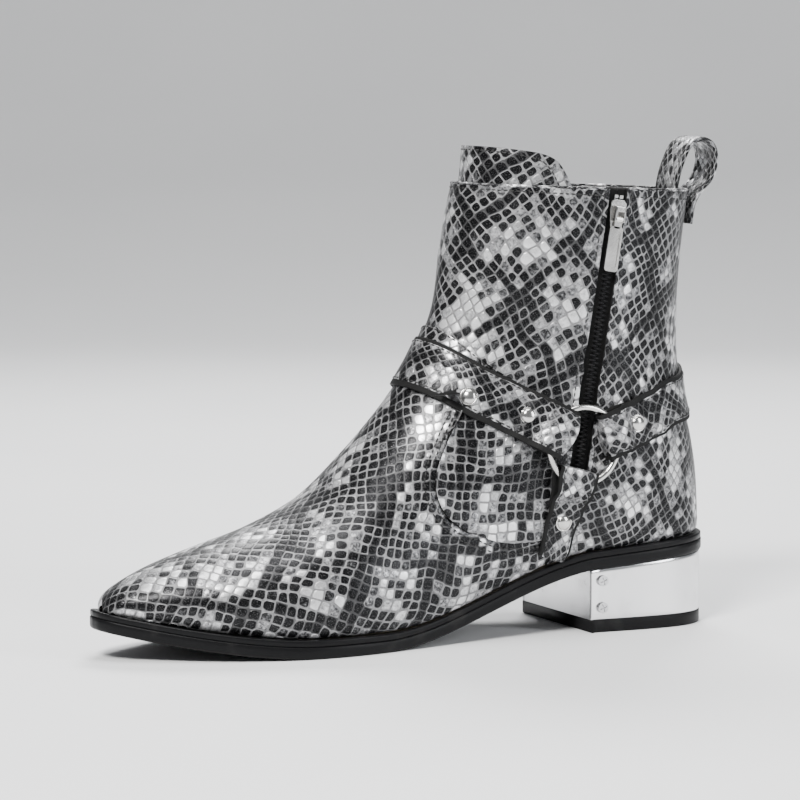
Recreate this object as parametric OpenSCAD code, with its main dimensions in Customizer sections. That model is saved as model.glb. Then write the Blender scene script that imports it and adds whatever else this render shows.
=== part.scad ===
// Pointed-toe harness ankle boot, right foot. Toe towards -Y, inner side towards +X, floor at z = 0.

/* [Overall] */
// Length of the outsole, toe tip to heel
sole_len = 302; // [250:1:360]
// Width of the outsole across the ball
ball_w = 101; // [80:1:125]
// Width of the heel seat
heel_w = 71; // [56:1:86]
// Width of the shaft across its top, outside
shaft_w = 76; // [62:1:92]
// Height of the shaft's top edge at the back
boot_h = 202; // [165:1:245]

/* [Sole and heel] */
// Height of the outsole's underside at the heel breast
heel_rise = 29; // [24:0.5:35]
// Height of the outsole's underside at the toe tip
toe_spring = 13.5; // [8:0.5:17]
// Thickness of the outsole
outsole_t = 5.5; // [4:0.5:8]
// Thickness of the welt between upper and outsole
welt_t = 3; // [2:0.25:5]
// Width of the welt's ledge beyond the upper
ledge_w = 3; // [1.5:0.25:4]
// Distance of the heel breast from the outsole's back
heel_len = 69; // [57:1:83]
// Thickness of the rubber top lift
lift_t = 6; // [4:0.5:9]
// Thickness of the metal heel plate
plate_t = 1.2; // [0.8:0.1:2]

/* [Leather] */
// Thickness of the outer leather
leather_t = 1.3; // [1:0.1:1.7]
// Thickness of the lining leather
lining_t = 1; // [0.7:0.1:1.3]
// Gap between outer leather and lining, filled by the zip tape
tape_gap = 0.9; // [0.8:0.05:1.3]
// Thickness of a harness strap
strap_t = 2; // [1.5:0.1:2.5]
// Height of the tongue above the shaft's top edge
tongue_rise = 16; // [10:0.5:19]

/* [Hardware] */
// Outside diameter of the harness rings
ring_d = 38; // [32:0.5:45]
// Diameter of the ring wire
ring_wire = 3; // [2.4:0.1:3.6]
// Diameter of the domed rivet caps
rivet_d = 8; // [6:0.5:10]
// Width of the zip's tooth row
teeth_w = 4.6; // [3.8:0.2:5.4]
// Width of the gap in the leather over the zip
zip_gap = 9.6; // [9:0.2:11]
// Length of the zip puller
puller_len = 24; // [18:1:28]
// Diameter of the heel plate's screw heads
screw_d = 5; // [4:0.25:6]

/* [Pull loop] */
// Width of the pull loop
loop_w = 18; // [14:1:24]
// Height of the pull loop above the top edge
loop_h = 24; // [18:1:30]

/* [Hidden] */
$fn = 48;
INNER = 1;
OUTER = -1;

// ---- Sole line: heights along the boot, for the design's own sole (ref) or the chosen one ----
half_len = sole_len / 2;
ref_half = 151;
ky = sole_len / 302;
ref_breast = 82;
breast_y = half_len - heel_len;
roll_y = -62;      // where the toe starts to lift
shank_y = -26;     // where the shank starts to rise
shank_end = 0.16;  // slope of the shank at the breast
seat_slope = 0.078;

function rise(y, h, s, b, k) =
    let (t = (y - shank_y * k) / (b - shank_y * k))
    y < roll_y * k ? s * pow((roll_y * k - y) / ((ref_half + roll_y) * k), 1.6)
    : t < 0 ? 0
    : t < 1 ? h * (3 * t * t - 2 * t * t * t) + shank_end * (b - shank_y * k) * (t * t * t - t * t)
    : h + seat_slope * (y - b);
function sole_z(y) = rise(y, heel_rise, toe_spring, breast_y, ky);
function ref_sole_z(y) = rise(y, 29, 13.5, ref_breast, 1);
function seat_z(y) = sole_z(y) + outsole_t + welt_t;
function ref_seat_z(y) = ref_sole_z(y) + 8.5;

// ---- Last: sections fanned from the toe to the top edge ----
// Each row: underside y and rise above the seat line, topside y and z, feather half width, half width,
// height of the widest point as a share, roundness of the top, sideways shift.
LAST = [
    [-147, 0, -146.6, 23.5, 1.5, 2.4, 0.4, 2, 5],
    [-145.2, 0, -144, 28, 7, 8.8, 0.38, 2.1, 4.8],
    [-139, 0, -136, 33, 12, 15, 0.36, 2.1, 4.2],
    [-124, 0, -119, 40, 20.5, 24.5, 0.33, 2.1, 3.4],
    [-102, 0, -95, 47.3, 31, 35, 0.3, 2.05, 2.2],
    [-76, 0, -69, 54.5, 40.5, 44.5, 0.26, 2, 0.3],
    [-46, 0, -42, 67.5, 46, 49.5, 0.24, 1.9, -1.6],
    [-16, 0, -22, 87, 43, 47.5, 0.24, 1.8, -2.6],
    [14, 0, -9, 102, 37.5, 43.5, 0.28, 1.8, -2.2],
    [46, 0, 0, 114, 33, 40.5, 0.33, 1.85, -1.2],
    [84, 0, 6.5, 124.5, 31.5, 38.3, 0.4, 1.9, -0.3],
    [112, 0, 11, 132.5, 31.8, 38, 0.42, 2, 0],
    [131, 0, 14.5, 139.5, 28.5, 38, 0.44, 2, 0],
    [142.5, 0.3, 17, 145, 21, 38, 0.46, 2, 0],
    [148.8, 3, 18.8, 150.5, 11, 38, 0.46, 2, 0],
    [151.8, 11, 20, 156, 3, 38, 0.46, 2, 0],
    [152, 24, 21, 162, 0, 38, 0.46, 2, 0],
    [149, 42, 21.8, 169, 0, 38, 0.46, 2, 0],
    [143.8, 62, 22.8, 176.5, 0, 38, 0.46, 2, 0],
    [141, 84, 24.5, 185, 0, 38, 0.46, 2, 0],
    [140.9, 106, 26, 192, 0, 38, 0.46, 2.05, 0],
    [142.6, 130, 27.8, 199, 0, 38, 0.46, 2.1, 0],
    [146.5, 159.4, 29.5, 206.5, 0, 38, 0.46, 2.1, 0],
    [149.5, 181, 31.5, 227, 0, 38, 0.46, 2.1, 0]];
TOP = 22;       // section of the shaft's top edge
SEAT_END = 15;  // section where the seat's back turns up into the heel
kb = ball_w / 101;
kh = heel_w / 71;
ks = shaft_w / 76;
ref_top = 202;
kz = (boot_h - seat_z(half_len)) / (ref_top - ref_seat_z(ref_half));

// Smooth curve through the rows
function cr(a, b, c, d,
    t) = 0.5 * (2 * b + (c - a) * t + (2 * a - 5 * b + 4 * c - d) * t * t + (3 * b - a - 3 * c + d) *
    t * t * t);
function row(i) = LAST[min(len(LAST) - 1, max(0, i))];
function last_at(u) =
    let (i = min(len(LAST) - 2, max(0, floor(u))))
    cr(row(i - 1), row(i), row(i + 1), row(i + 2), u - i);
// A side-view point of the reference last, moved to the chosen sizes
function place(y, z) = [y * ky, seat_z(y * ky) + (z - ref_seat_z(y)) * kz];
function foot_k(u) = u < 8 ? kb : u > 11 ? kh : kb + (kh - kb) * (u - 8) / 3;
function body_k(u) = u < 7 ? kb : u > 11 ? ks : kb + (ks - kb) * (u - 7) / 4;

VM_FOOT = 0.16;  // share of the half girth below the widest point
VM_SHAFT = 0.5;
function v_mid(u) = u < 7 ? VM_FOOT : u > 16 ? VM_SHAFT : VM_FOOT + (VM_SHAFT - VM_FOOT) * (u - 7) / 9;
// v: 0 at the feather edge or back, 1 at the ridge. Gives share of height and half width.
function section(r, u, v) =
    let (m = v_mid(u), wb = max(0, r[4]) * foot_k(u), w = r[5] * body_k(u), a = 90 * v / m,
        b = 90 * (v - m) / (1 - m))
    v < m ? [r[6] * (1 - cos(a)), wb + (w - wb) * sin(a)]
    : [r[6] + (1 - r[6]) * pow(max(0, sin(b)), 2 / r[7]), w * pow(max(0, cos(b)), 2 / r[7])];
// w: -1 outer feather edge, 0 ridge, +1 inner feather edge
// and past 1 the shaft carries on round the back to the outer side
function skin_point(u, w0) =
    let (w = w0 > 1 ? w0 - 2 : w0, r = last_at(u), s = section(r, u, 1 - abs(w)), side = w < 0 ? -1 : 1,
        lo = place(r[0], ref_seat_z(r[0]) + max(0, r[1])), hi = place(r[2], r[3]))
    [r[8] * kb + side * s[1], lo[0] + (hi[0] - lo[0]) * s[0], lo[1] + (hi[1] - lo[1]) * s[0]];
EPS = 0.02;
function unit(v) = v / max(1e-9, norm(v));
function skin_normal(u, w) =
    let (ua = max(0.02, u), wa = abs(w) < EPS ? 0 : w,
        lim = ua > SEAT_END + 1 ? 2 : 0.999,
        du = skin_point(ua + EPS, wa) - skin_point(max(0, ua - EPS), wa),
        dw = skin_point(ua, min(lim, wa + EPS)) - skin_point(ua, max(-0.999, wa - EPS)))
    unit(cross(dw, du));
function on_skin(u, w, h) = skin_point(u, w) + skin_normal(u, w) * h;

// Side-view point of the reference last to its place on the skin, by halving the section number
function side_of(r, y, z) = let (b = ref_seat_z(r[0]) + max(0,
    r[1])) (r[2] - r[0]) * (z - b) - (r[3] - b) * (y - r[0]);
function find_u(y, z, lo, hi, n) =
    let (m = (lo + hi) / 2)
    n == 0 ? m : side_of(last_at(m), y, z) < 0 ? find_u(y, z, m, hi, n - 1) : find_u(y, z, lo, m, n - 1);
function uw(y, z, side) =
    let (u = find_u(y, z, 1, 23, 16), r = last_at(u), b = ref_seat_z(r[0]) + max(0, r[1]),
        t = min(1, max(0, ((z - b) * (r[3] - b) + (y - r[0]) * (r[2] - r[0])) / (pow(r[3] - b,
            2) + pow(r[2] - r[0], 2)))),
        m = v_mid(u),
        v = t < r[6] ? m * acos(1 - t / r[6]) / 90 : m + (1 - m) * asin(pow((t - r[6]) / (1 - r[6]),
            r[7] / 2)) / 90)
    [u, side * (1 - v)];

// Section whose ridge, or whose back, is at height z of the reference last
function ridge_at(z, lo = 2, hi = 23,
    n = 16) = let (m = (lo + hi) / 2) n == 0 ? m : last_at(m)[3] < z ? ridge_at(z, m, hi,
    n - 1) : ridge_at(z, lo, m, n - 1);
function back_z(r) = ref_seat_z(r[0]) + r[1];
function back_at(z, lo = 14, hi = 23,
    n = 16) = let (m = (lo + hi) / 2) n == 0 ? m : back_z(last_at(m)) < z ? back_at(z, m, hi,
    n - 1) : back_at(z, lo, m, n - 1);
// The same for a real side-view point
function uw_real(p, side) = let (y = p[0] / ky) uw(y, ref_seat_z(y) + (p[1] - seat_z(p[0])) / kz, side);

// ---- Mesh helpers ----
function mix(a, b, t) = a + (b - a) * t;
function smooth_path(p, t) =
    let (n = len(p) - 1, i = min(n - 1, floor(t * n)), f = t * n - i)
    cr(p[max(0, i - 1)], p[i], p[i + 1], p[min(n, i + 2)], f);

// Closed sheet between two grids of points, outer[i][j] and inner[i][j]
module sheet(outer, inner) {
    ni = len(outer);
    nj = len(outer[0]);
    n = ni * nj;
    pts = concat([for (r = outer) each r], [for (r = inner) each r]);
    faces = concat(
        [for (i = [0 : ni - 2], j = [0 : nj - 2]) let (a = i * nj + j) each [[a, a + 1, a + nj + 1], [a,
            a + nj + 1, a + nj]]],
        [for (i = [0 : ni - 2], j = [0 : nj - 2]) let (a = n + i * nj + j) each [[a, a + nj + 1, a + 1],
            [a, a + nj, a + nj + 1]]],
        [for (j = [0 : nj - 2]) let (a = j, b = (ni - 1) * nj + j) each
            [[a, n + a, n + a + 1], [a, n + a + 1, a + 1], [b, n + b + 1, n + b], [b, b + 1, n + b + 1]]],
        [for (i = [0 : ni - 2]) let (a = i * nj, b = i * nj + nj - 1) each
            [[a, n + a + nj, n + a], [a, a + nj, n + a + nj], [b, n + b, n + b + nj], [b, n + b + nj,
                b + nj]]]);
    polyhedron(pts, faces);
}
// Leather between heights h0 and h1 above the skin, over a grid of [u, w]
module skin(grid, h1, h0) {
    sheet([for (r = grid) [for (p = r) on_skin(p[0], p[1], h1)]],
        [for (r = grid) [for (p = r) on_skin(p[0], p[1], h0)]]);
}
// Grid of [u, w] filling four boundary curves: left and right run upwards, low and high from left to right
function fill(left, right, low, high, ni, nj) =
    [for (i = [0 : ni]) let (s = i / ni, l = smooth_path(left, s), r = smooth_path(right, s))
        [for (j = [0 : nj]) let (t = j / nj, b = smooth_path(low, t), h = smooth_path(high, t))
            mix(l, r, t) + mix(b, h, s) - mix(mix(low[0], low[len(low) - 1], t), mix(high[0],
                high[len(high) - 1], t), s)]];
// Band through four-cornered rings of points, closed at both ends
module rings(r) {
    n = len(r);
    k = len(r[0]);
    faces = concat(
        [for (i = [0 : n - 2], j = [0 : k - 1]) let (a = i * k + j, b = i * k + (j + 1) % k) each
            [[a, b, b + k], [a, b + k, a + k]]],
        [for (j = [1 : k - 2]) [0, j + 1, j]],
        [for (j = [1 : k - 2]) let (o = (n - 1) * k) [o, o + j, o + j + 1]]);
    polyhedron([for (x = r) each x], faces);
}

// ---- Seams, as side-view points of the reference last ----
zip_top = [93.5, 203.5];
zip_low = [73, 76];
seam_side = [[18, 118], [20, 106], [11.4, 92], [3, 75], [5.5, 59.5], [23, 49], [54, 44.5]];
down_line = [[54, 44.5], [61, 56], [69, 68], [73, 76]];
BACK = 0.996;  // back seam, a hair short of the centre
SEAM_GAP = 0.02;
function zip_edge(side, off) = [for (k = [0 : 0.125 : 1]) let (p = mix(zip_low, zip_top,
    k)) uw(p[0] + off, p[1] + (k == 1 ? 2 : 0), side)];
function path_uw(p, side) = [for (q = p) uw(q[0], q[1], side)];
function flip(p) = [for (i = [len(p) - 1 : -1 : 0]) p[i]];
function top_row(path) = concat([for (i = [0 : len(path) - 2]) path[i]], [[TOP, path[len(path) - 1][1]]]);

half_gap = zip_gap / 2;
front_edge_inner = top_row(zip_edge(INNER, -half_gap));
front_edge_outer = top_row(zip_edge(OUTER, -0.2));
rear_edge_inner = top_row(zip_edge(INNER, half_gap));
rear_edge_outer = top_row(zip_edge(OUTER, 0.2));
ridge_u = 9.4;  // where vamp and front panel meet on the ridge, under the front strap

h_out = 0;
h_in = -leather_t;
lining_out = h_in - tape_gap;
lining_in = lining_out - lining_t;
layer_gap = 0.22;
tongue_gap = 0.5;

// ---- Upper ----
seam_cols = 42;  // columns along the seam from side to side
foot_cols = 3;  // columns from each end of the seam down to the welt
panel_low = concat(path_uw(flip(seam_side), INNER), [[ridge_u, 0]], path_uw(seam_side, OUTER));
function vamp_foot(side) = uw(57, ref_seat_z(57) + 1, side);
// Rear edge of the vamp: up from the welt, along the seam, and down again
vamp_rear = concat(
    [for (j = [0 : foot_cols - 1]) mix(vamp_foot(INNER), panel_low[0], j / foot_cols)],
    [for (j = [0 : seam_cols]) smooth_path(panel_low, j / seam_cols)],
    [for (j = [1 : foot_cols]) mix(panel_low[len(panel_low) - 1], vamp_foot(OUTER), j / foot_cols)]);
module vamp() {
    ni = 18;
    nj = seam_cols + 2 * foot_cols;
    grid = [for (i = [0 : ni]) [for (j = [0 : nj]) let (e = vamp_rear[j], s = i / ni)
        [max(0, (e[0] - SEAM_GAP) * pow(s, 0.85)), mix(mix(1, -1, j / nj), e[1], 1 - pow(1 - s, 2))]]];
    centred() color([0.62, 0.62, 0.64]) skin(grid, h_out, h_in);
}
module front_panel() {
    left = concat(path_uw([[54, 44.5], [63, 60]], INNER), front_edge_inner);
    right = concat(path_uw([[54, 44.5], [63, 60]], OUTER), front_edge_outer);
    high = [[TOP, left[len(left) - 1][1]], [TOP, 0], [TOP, right[len(right) - 1][1]]];
    grid = fill(left, right, panel_low, high, 20, seam_cols);
    centred() color([0.58, 0.58, 0.6]) skin(grid, h_out, h_in);
}
module rear_quarter(side) {
    edge = side == INNER ? rear_edge_inner : rear_edge_outer;
    left = concat([uw(59, ref_seat_z(59) + 1, side)], path_uw([[65, 57]], side), edge);
    right = [for (u = [SEAT_END + 0.6, 17.5, 19.5, TOP]) [u, side * BACK]];
    low = [left[0], [12.5, side * BACK], right[0]];
    high = [[TOP, left[len(left) - 1][1]], [TOP, side * BACK]];
    g = fill(left, right, low, high, 20, 16);
    centred() color([0.55, 0.55, 0.57]) skin(side == INNER ? [for (r = g) flip(r)] : g, h_out, h_in);
}

band_lift = 0.35;
// Short band on the ankle, its lower edge along the front strap
module ankle_band() {
    top = concat(path_uw([[36, 121.5], [29, 128.5], [21, 136.5]], INNER), [[ridge_at(141.5), 0]],
        path_uw([[21, 136.5], [29, 128.5], [36, 121.5]], OUTER));
    low = [for (k = [-3 : 3]) let (p = smooth_path(strap_edge(front_dir, front_w, 1, front_end,
        ridge_mid, true), 0.5 + k * 0.093)) p + [0.06, 0]];
    centred() color([0.5, 0.5, 0.52]) skin([for (i = [0 : 3]) [for (j = [0 : 16]) mix(smooth_path(low,
        j / 16), smooth_path(top, j / 16), i / 3)]], band_lift + 0.8, band_lift);
}
module tongue() {
    ni = 10;
    nj = 18;
    rise_u = tongue_rise / 20;
    top = [[TOP, 0.4], [TOP + rise_u * 0.72, 0.34], [TOP + rise_u * 0.95, 0.2], [TOP + rise_u, 0],
        [TOP + rise_u * 0.95, -0.2],
        [TOP + rise_u * 0.72, -0.34], [TOP, -0.4]];
    centred() color([0.6, 0.6,
        0.62]) skin([for (i = [0 : ni]) [for (j = [0 : nj]) let (e = smooth_path(top, j / nj),
        w = mix(0.4, -0.4, j / nj))
        mix([15, w], e, i / ni)]], lining_in - tongue_gap, lining_in - tongue_gap - leather_t);
}
module lining() {
    ni = 28;
    nj = 28;
    // It stops short of the toe tip and of the tight bend under the heel, where the board and sock cover
    centred() color([0.12, 0.12, 0.13]) skin([for (i = [0 : ni]) let (u = mix(1.4, TOP - 0.05, i / ni),
        e = mix(0.93, BACK, min(1, max(0, (u - 16) / 2))))
        [for (j = [0 : nj]) [u, mix(e, -e, j / nj)]]], lining_out, lining_in);
}
module filler_skin(u0, u1, w0, w1, ni, nj) {
    skin([for (i = [0 : ni]) [for (j = [0 : nj]) [mix(u0, u1, i / ni), mix(w0, w1, j / nj)]]],
        h_in - layer_gap, lining_out + layer_gap);
}
module toe_puff() { centred() color([0.75, 0.7, 0.6]) filler_skin(0.6, 4.2, 0.97, -0.97, 8, 20); }
module heel_counter() { centred() color([0.7, 0.62, 0.5]) filler_skin(16.1, 18.6, 1.3, 0.7, 7, 14); }
module back_seam_strip() { centred() color([0.2, 0.2, 0.2]) filler_skin(18.8, TOP - 0.1, 1.05, 0.95, 10,
    2); }

// ---- Sole ----
// Outline rows: y, inner edge, outer edge
SOLE = [[-151, 6, 4], [-149.6, 11.5, -1.8], [-144, 18, -9.5], [-130, 26.5, -19], [-110, 36.5, -30.5],
    [-88, 44.5, -41.5], [-62, 49.5, -50],
    [-36, 48, -51.5], [-8, 42, -47.5], [22, 37, -41], [55, 34.5, -36], [85, 34.8, -35.2], [110, 35.5,
        -35.5], [128, 34, -34],
    [140, 29, -29], [147.5, 20.5, -20.5], [150.6, 10, -10], [151, 1, -1]];
function sole_row(i) = SOLE[min(len(SOLE) - 1, max(0, i))];
// Outline at s, 0 toe tip to 1 heel back, moved inwards by inset: [y, x inner, x outer]
function sole_at(s) =
    let (n = len(SOLE) - 1, i = min(n - 1, floor(s * n)), r = cr(sole_row(i - 1), sole_row(i),
        sole_row(i + 1), sole_row(i + 2), s * n - i),
        k = mix(kb, kh, min(1, max(0, (r[0] - 20) / 60))))
    [r[0] * ky, r[1] * k + ledge_w - 3, r[2] * k - ledge_w + 3];
// The outline as a ring of points, inner side first from toe to heel and back along the outer side
function sole_loop(n) = concat([for (i = [0 : n]) let (r = sole_at(i / n)) [r[1], r[0]]],
    [for (i = [n : -1 : 0]) let (r = sole_at(i / n)) [r[2], r[0]]]);
function inset_loop(p, d) =
    let (n = len(p))
    [for (i = [0 : n - 1]) let (t = unit(p[(i + 1) % n] - p[(i + n - 1) % n])) p[i] + d * [-t[1], t[0]]];
SOLE_N = 34;
edge_loop = sole_loop(SOLE_N);
// Flat-sided layer that follows the sole line: widths from the loop, heights above the outsole's underside
module sole_layer(loop, z0, z1) {
    n = len(loop) / 2;
    rings([for (i = [0 : n - 1]) let (a = loop[i], b = loop[2 * n - 1 - i], za = sole_z(a[1]),
        zb = sole_z(b[1]))
        [[b[0], b[1], zb + z0], [b[0], b[1], zb + z1], [a[0], a[1], za + z1], [a[0], a[1], za + z0]]]);
}
module outsole() { centred() color([0.06, 0.06, 0.06]) sole_layer(edge_loop, 0, outsole_t - 0.02); }
// Layer on the seat inside the feather edge, between sections u0 and u1
module seat_layer(u0, u1, inset, z0, z1) {
    rings([for (i = [0 : 60]) let (u = mix(u0, u1, i / 60), r = last_at(u), y = r[0] * ky,
        z = seat_z(y) + max(0, r[1]) * kz,
        x = max(0.6, max(0, r[4]) * foot_k(u) - inset), c = r[8] * kb) [[c - x, y, z + z0], [c - x, y,
            z + z1], [c + x, y, z + z1], [c + x, y, z + z0]]]);
}
welt_band = 9;
module welt() {
    in = inset_loop(edge_loop, welt_band);
    n = len(edge_loop);
    z0 = outsole_t;
    z1 = outsole_t + welt_t - 0.02;
    pts = [for (i = [0 : n - 1]) let (a = edge_loop[i], b = in[i]) each
        [[a[0], a[1], sole_z(a[1]) + z0], [a[0], a[1], sole_z(a[1]) + z1], [b[0], b[1],
            sole_z(b[1]) + z1], [b[0], b[1], sole_z(b[1]) + z0]]];
    centred() color([0.05, 0.05, 0.05]) polyhedron(pts, [for (i = [0 : n - 1],
        j = [0 : 3]) let (a = i * 4 + j, b = i * 4 + (j + 1) % 4,
        c = ((i + 1) % n) * 4 + j, d = ((i + 1) % n) * 4 + (j + 1) % 4) each [[a, b, d], [a, d, c]]]);
}
board_t = 1.8;
sock_t = 1.2;
module insole_board() { centred() color([0.72, 0.6, 0.42]) seat_layer(1.05, 14.1, leather_t + 0.5, 0.12,
    board_t); }
module sock_liner() { centred() color([0.1, 0.1, 0.1]) seat_layer(1.3, 14, leather_t + 1.1,
    board_t + 0.15, board_t + sock_t); }
module cork_filler() { centred() color([0.6, 0.45, 0.3]) seat_layer(3.6, 7.2, 9, 0.25 - welt_t, -0.15); }
shank_w = 14;
module steel_shank() {
    centred() color([0.5, 0.52, 0.55]) rings([for (i = [0 : 14]) let (y = mix(0, breast_y + 26, i / 14),
        z = seat_z(y))
        [[-shank_w / 2 - 1, y, z - 1.6], [-shank_w / 2 - 1, y, z - 0.3], [shank_w / 2 - 1, y, z - 0.3],
            [shank_w / 2 - 1, y, z - 1.6]]]);
}

// ---- Heel ----
heel_inset = 0.8;
heel_outer = inset_loop(edge_loop, heel_inset);
heel_inner = inset_loop(edge_loop, heel_inset + plate_t);
heel_core = inset_loop(edge_loop, heel_inset + plate_t + 0.05);
big = 400;
// Upright body of a sole outline between the heel's front face at y0 and z0 and the sole
module heel_body(loop, y0, z0, top_gap) {
    difference() {
        translate([0, 0, z0]) linear_extrude(heel_rise + 20) polygon(loop);
        translate([-big / 2, y0 - big, -1]) cube([big, big, big]);
        translate([0, breast_y, heel_rise - top_gap]) rotate([atan(seat_slope), 0,
            0]) translate([-big / 2, -big / 2, 0]) cube([big, big, big]);
    }
}
screw_y = breast_y + 6;
screw_z = [lift_t + 5.5, heel_rise - 5];
screw_hole = 1.2;
function side_x(y, side) = let (s = search_s(y, 0.55, 0.95, 14), r = sole_at(s)) side > 0 ? r[1] : r[2];
function search_s(y, lo, hi, n) = let (m = (lo + hi) / 2) n == 0 ? m : sole_at(m)[0] < y ? search_s(y, m,
    hi, n - 1) : search_s(y, lo, m, n - 1);
module each_screw() {
    for (side = [INNER, OUTER], z = screw_z)
        translate([side_x(screw_y, side) - side * heel_inset, screw_y, z]) rotate([0, side * 90,
            0]) children();
}
module heel_block() {
    centred() color([0.25, 0.2, 0.17]) difference() {
        heel_body(heel_core, breast_y + plate_t + 0.05, lift_t + 0.05, 0.15);
        each_screw() translate([0, 0, -9]) cylinder(r = screw_hole, h = 20);
    }
}
module heel_plate() {
    centred() color([0.82, 0.83, 0.85]) difference() {
        heel_body(heel_outer, breast_y, lift_t + 0.05, 0.1);
        translate([0, 0, -5]) linear_extrude(big) polygon(heel_inner);
        each_screw() translate([0, 0, -9]) cylinder(r = screw_hole, h = 20);
    }
}
module heel_breast_plate() {
    centred() color([0.8, 0.81, 0.83]) intersection() {
        heel_body(heel_core, breast_y, lift_t + 0.05, 0.35);
        translate([-big / 2, breast_y, 0]) cube([big, plate_t, big]);
    }
}
module heel_plate_screws() {
    centred() color([0.7, 0.7, 0.72]) each_screw() difference() {
        union() {
            translate([0, 0, 0.12]) cylinder(d = screw_d, h = 0.9);
            translate([0, 0, -8]) cylinder(r = screw_hole - 0.05, h = 8.1);
        }
        for (a = [0, 90]) rotate([0, 0, a + 20]) translate([-screw_d * 0.36, -0.3,
            0.5]) cube([screw_d * 0.72, 0.6, 1]);
    }
}
module top_lift() {
    centred() color([0.05, 0.05, 0.05]) difference() {
        linear_extrude(lift_t) polygon(inset_loop(edge_loop, heel_inset - 0.1));
        translate([-big / 2, breast_y - big, -1]) cube([big, big, big]);
    }
}
nail_r = 0.9;
nail_head = 1;
nail_sink = 1.5;
nail_hold = 8;
nail_places = [[-22, 12], [22, 12], [-22, 38], [22, 38], [0, 56]];
module top_lift_nails() {
    centred() color([0.6, 0.55, 0.4]) for (p = nail_places)
        translate([p[0] * kh, breast_y + p[1] * heel_len / 69, nail_sink]) {
            cylinder(r = nail_r + 0.6, h = nail_head);
            cylinder(r = nail_r, h = lift_t + nail_hold);
        }
}
fixing_r = 2;
fixing_head = 1.6;
fixing_start = 6;
module heel_fixing_screw() {
    y = breast_y + heel_len / 2;
    reach = seat_z(y) - lift_t - fixing_start - 0.4;
    centred() color([0.45, 0.45, 0.47]) translate([0, y, lift_t + fixing_start]) {
        cylinder(r = fixing_r, h = reach);
        translate([0, 0, reach - fixing_head]) cylinder(r = 2 * fixing_r, h = fixing_head);
    }
}

// ---- Harness ----
ring_r = ring_d / 2 - ring_wire / 2;
ring_c = place(73.5, 88);
ring_uw = uw_real(ring_c, INNER);
function ring_face(side) = abs(skin_point(ring_uw[0], side * ring_uw[1])[0]);
puller_top = 2.4;
ring_low = puller_top + 0.5;  // clear of the zip puller that passes under the ring
ring_mid = ring_low + ring_wire / 2;
ring_high = ring_low + ring_wire;
loop_t = 1.4;
strap_gap = 0.5;  // the straps lie this far off the leather
strap_top = strap_t + strap_gap;
ring_gap = 0.35;
ring_bore = ring_d - 2 * ring_wire;
front_w = ring_bore * 0.72;  // the straps are as wide as the ring lets them turn round it
rear_w = ring_bore * 0.67;
down_w = ring_bore * 0.594;
front_dir = unit(place(8.5, 123.1) - ring_c);
rear_dir = unit(place(144, 110) - ring_c);
down_dir = unit(place(62.3, 45) - ring_c);
ridge_mid = 125.2;  // height of the front strap's middle on the ridge
back_mid = 110;     // height of the rear strap's middle on the back
// Distance from the ring's centre to a strap's folded end
function end_line(w) = sqrt(pow(ring_r - ring_wire / 2, 2) - w * w / 4) - ring_gap - loop_t;
front_end = end_line(front_w);
rear_end = end_line(rear_w);
down_end = end_line(down_w);
STEP = 16;  // side-view distance between a strap's own points
// Edge of a strap that runs from the inner ring to the outer one past mid
function strap_edge(dir, w, edge, end, mid, front) =
    let (e = [-dir[1], dir[0]] * (front ? -edge : edge) * w / 2,
        p = [for (k = [0 : 3]) uw_real(ring_c + dir * (end + k * STEP) + e, INNER)],
        m = front ? [ridge_at(mid + edge * w * 0.46), 0] : [back_at(mid + edge * w * 0.5), 1])
    concat(p, [m], [for (k = [3 : -1 : 0]) front ? [p[k][0], -p[k][1]] : [p[k][0], 2 - p[k][1]]]);
// Folded end round the ring: outer and inner faces as [distance from the end, height]
fold = [[[26, strap_top], [26, strap_gap]], [[21, strap_t + 1.5], [21, 1.6]], [[16.5, strap_t + 1.8],
    [16, 1.75]],
    [[12, ring_high + 1.3], [12.6, ring_high + 0.2]], [[9.5, ring_high + 1.75], [9.5, ring_high + 0.35]],
        [[2.4, ring_high + 1.75], [2.6, ring_high + 0.35]],
    [[0.6, ring_high + 1], [1.5, ring_high - 0.2]], [[0, ring_mid], [loop_t, ring_mid]], [[0.3, 1.35],
        [1.55, 2]], [[1.4, 0.65], [2.1, 1.7]],
    [[3, strap_gap], [3, 1.7]], [[10, strap_gap], [10, 1.7]], [[20, strap_gap], [20, 1.65]]];
// Place a strap point: d from the folded end, height h, t across. Flat near the ring, then on the leather
function strap_point(a, b, s, t, h, d, side) =
    let (p = mix(smooth_path(a, s), smooth_path(b, s), t), q = on_skin(p[0], p[1], h),
        g = skin_point(p[0], p[1]),
        k = min(1, max(0, (24 - d) / 9)))
    mix(q, [side * (ring_face(side) + h), g[1], g[2]], k);
ACROSS = 3;
function strap_ring(a, b, so, ho, si, hi, d, side) = concat(
    [for (j = [0 : ACROSS]) strap_point(a, b, so, j / ACROSS, ho, d, side)],
    [for (j = [ACROSS : -1 : 0]) strap_point(a, b, si, j / ACROSS, hi, d, side)]);
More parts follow.
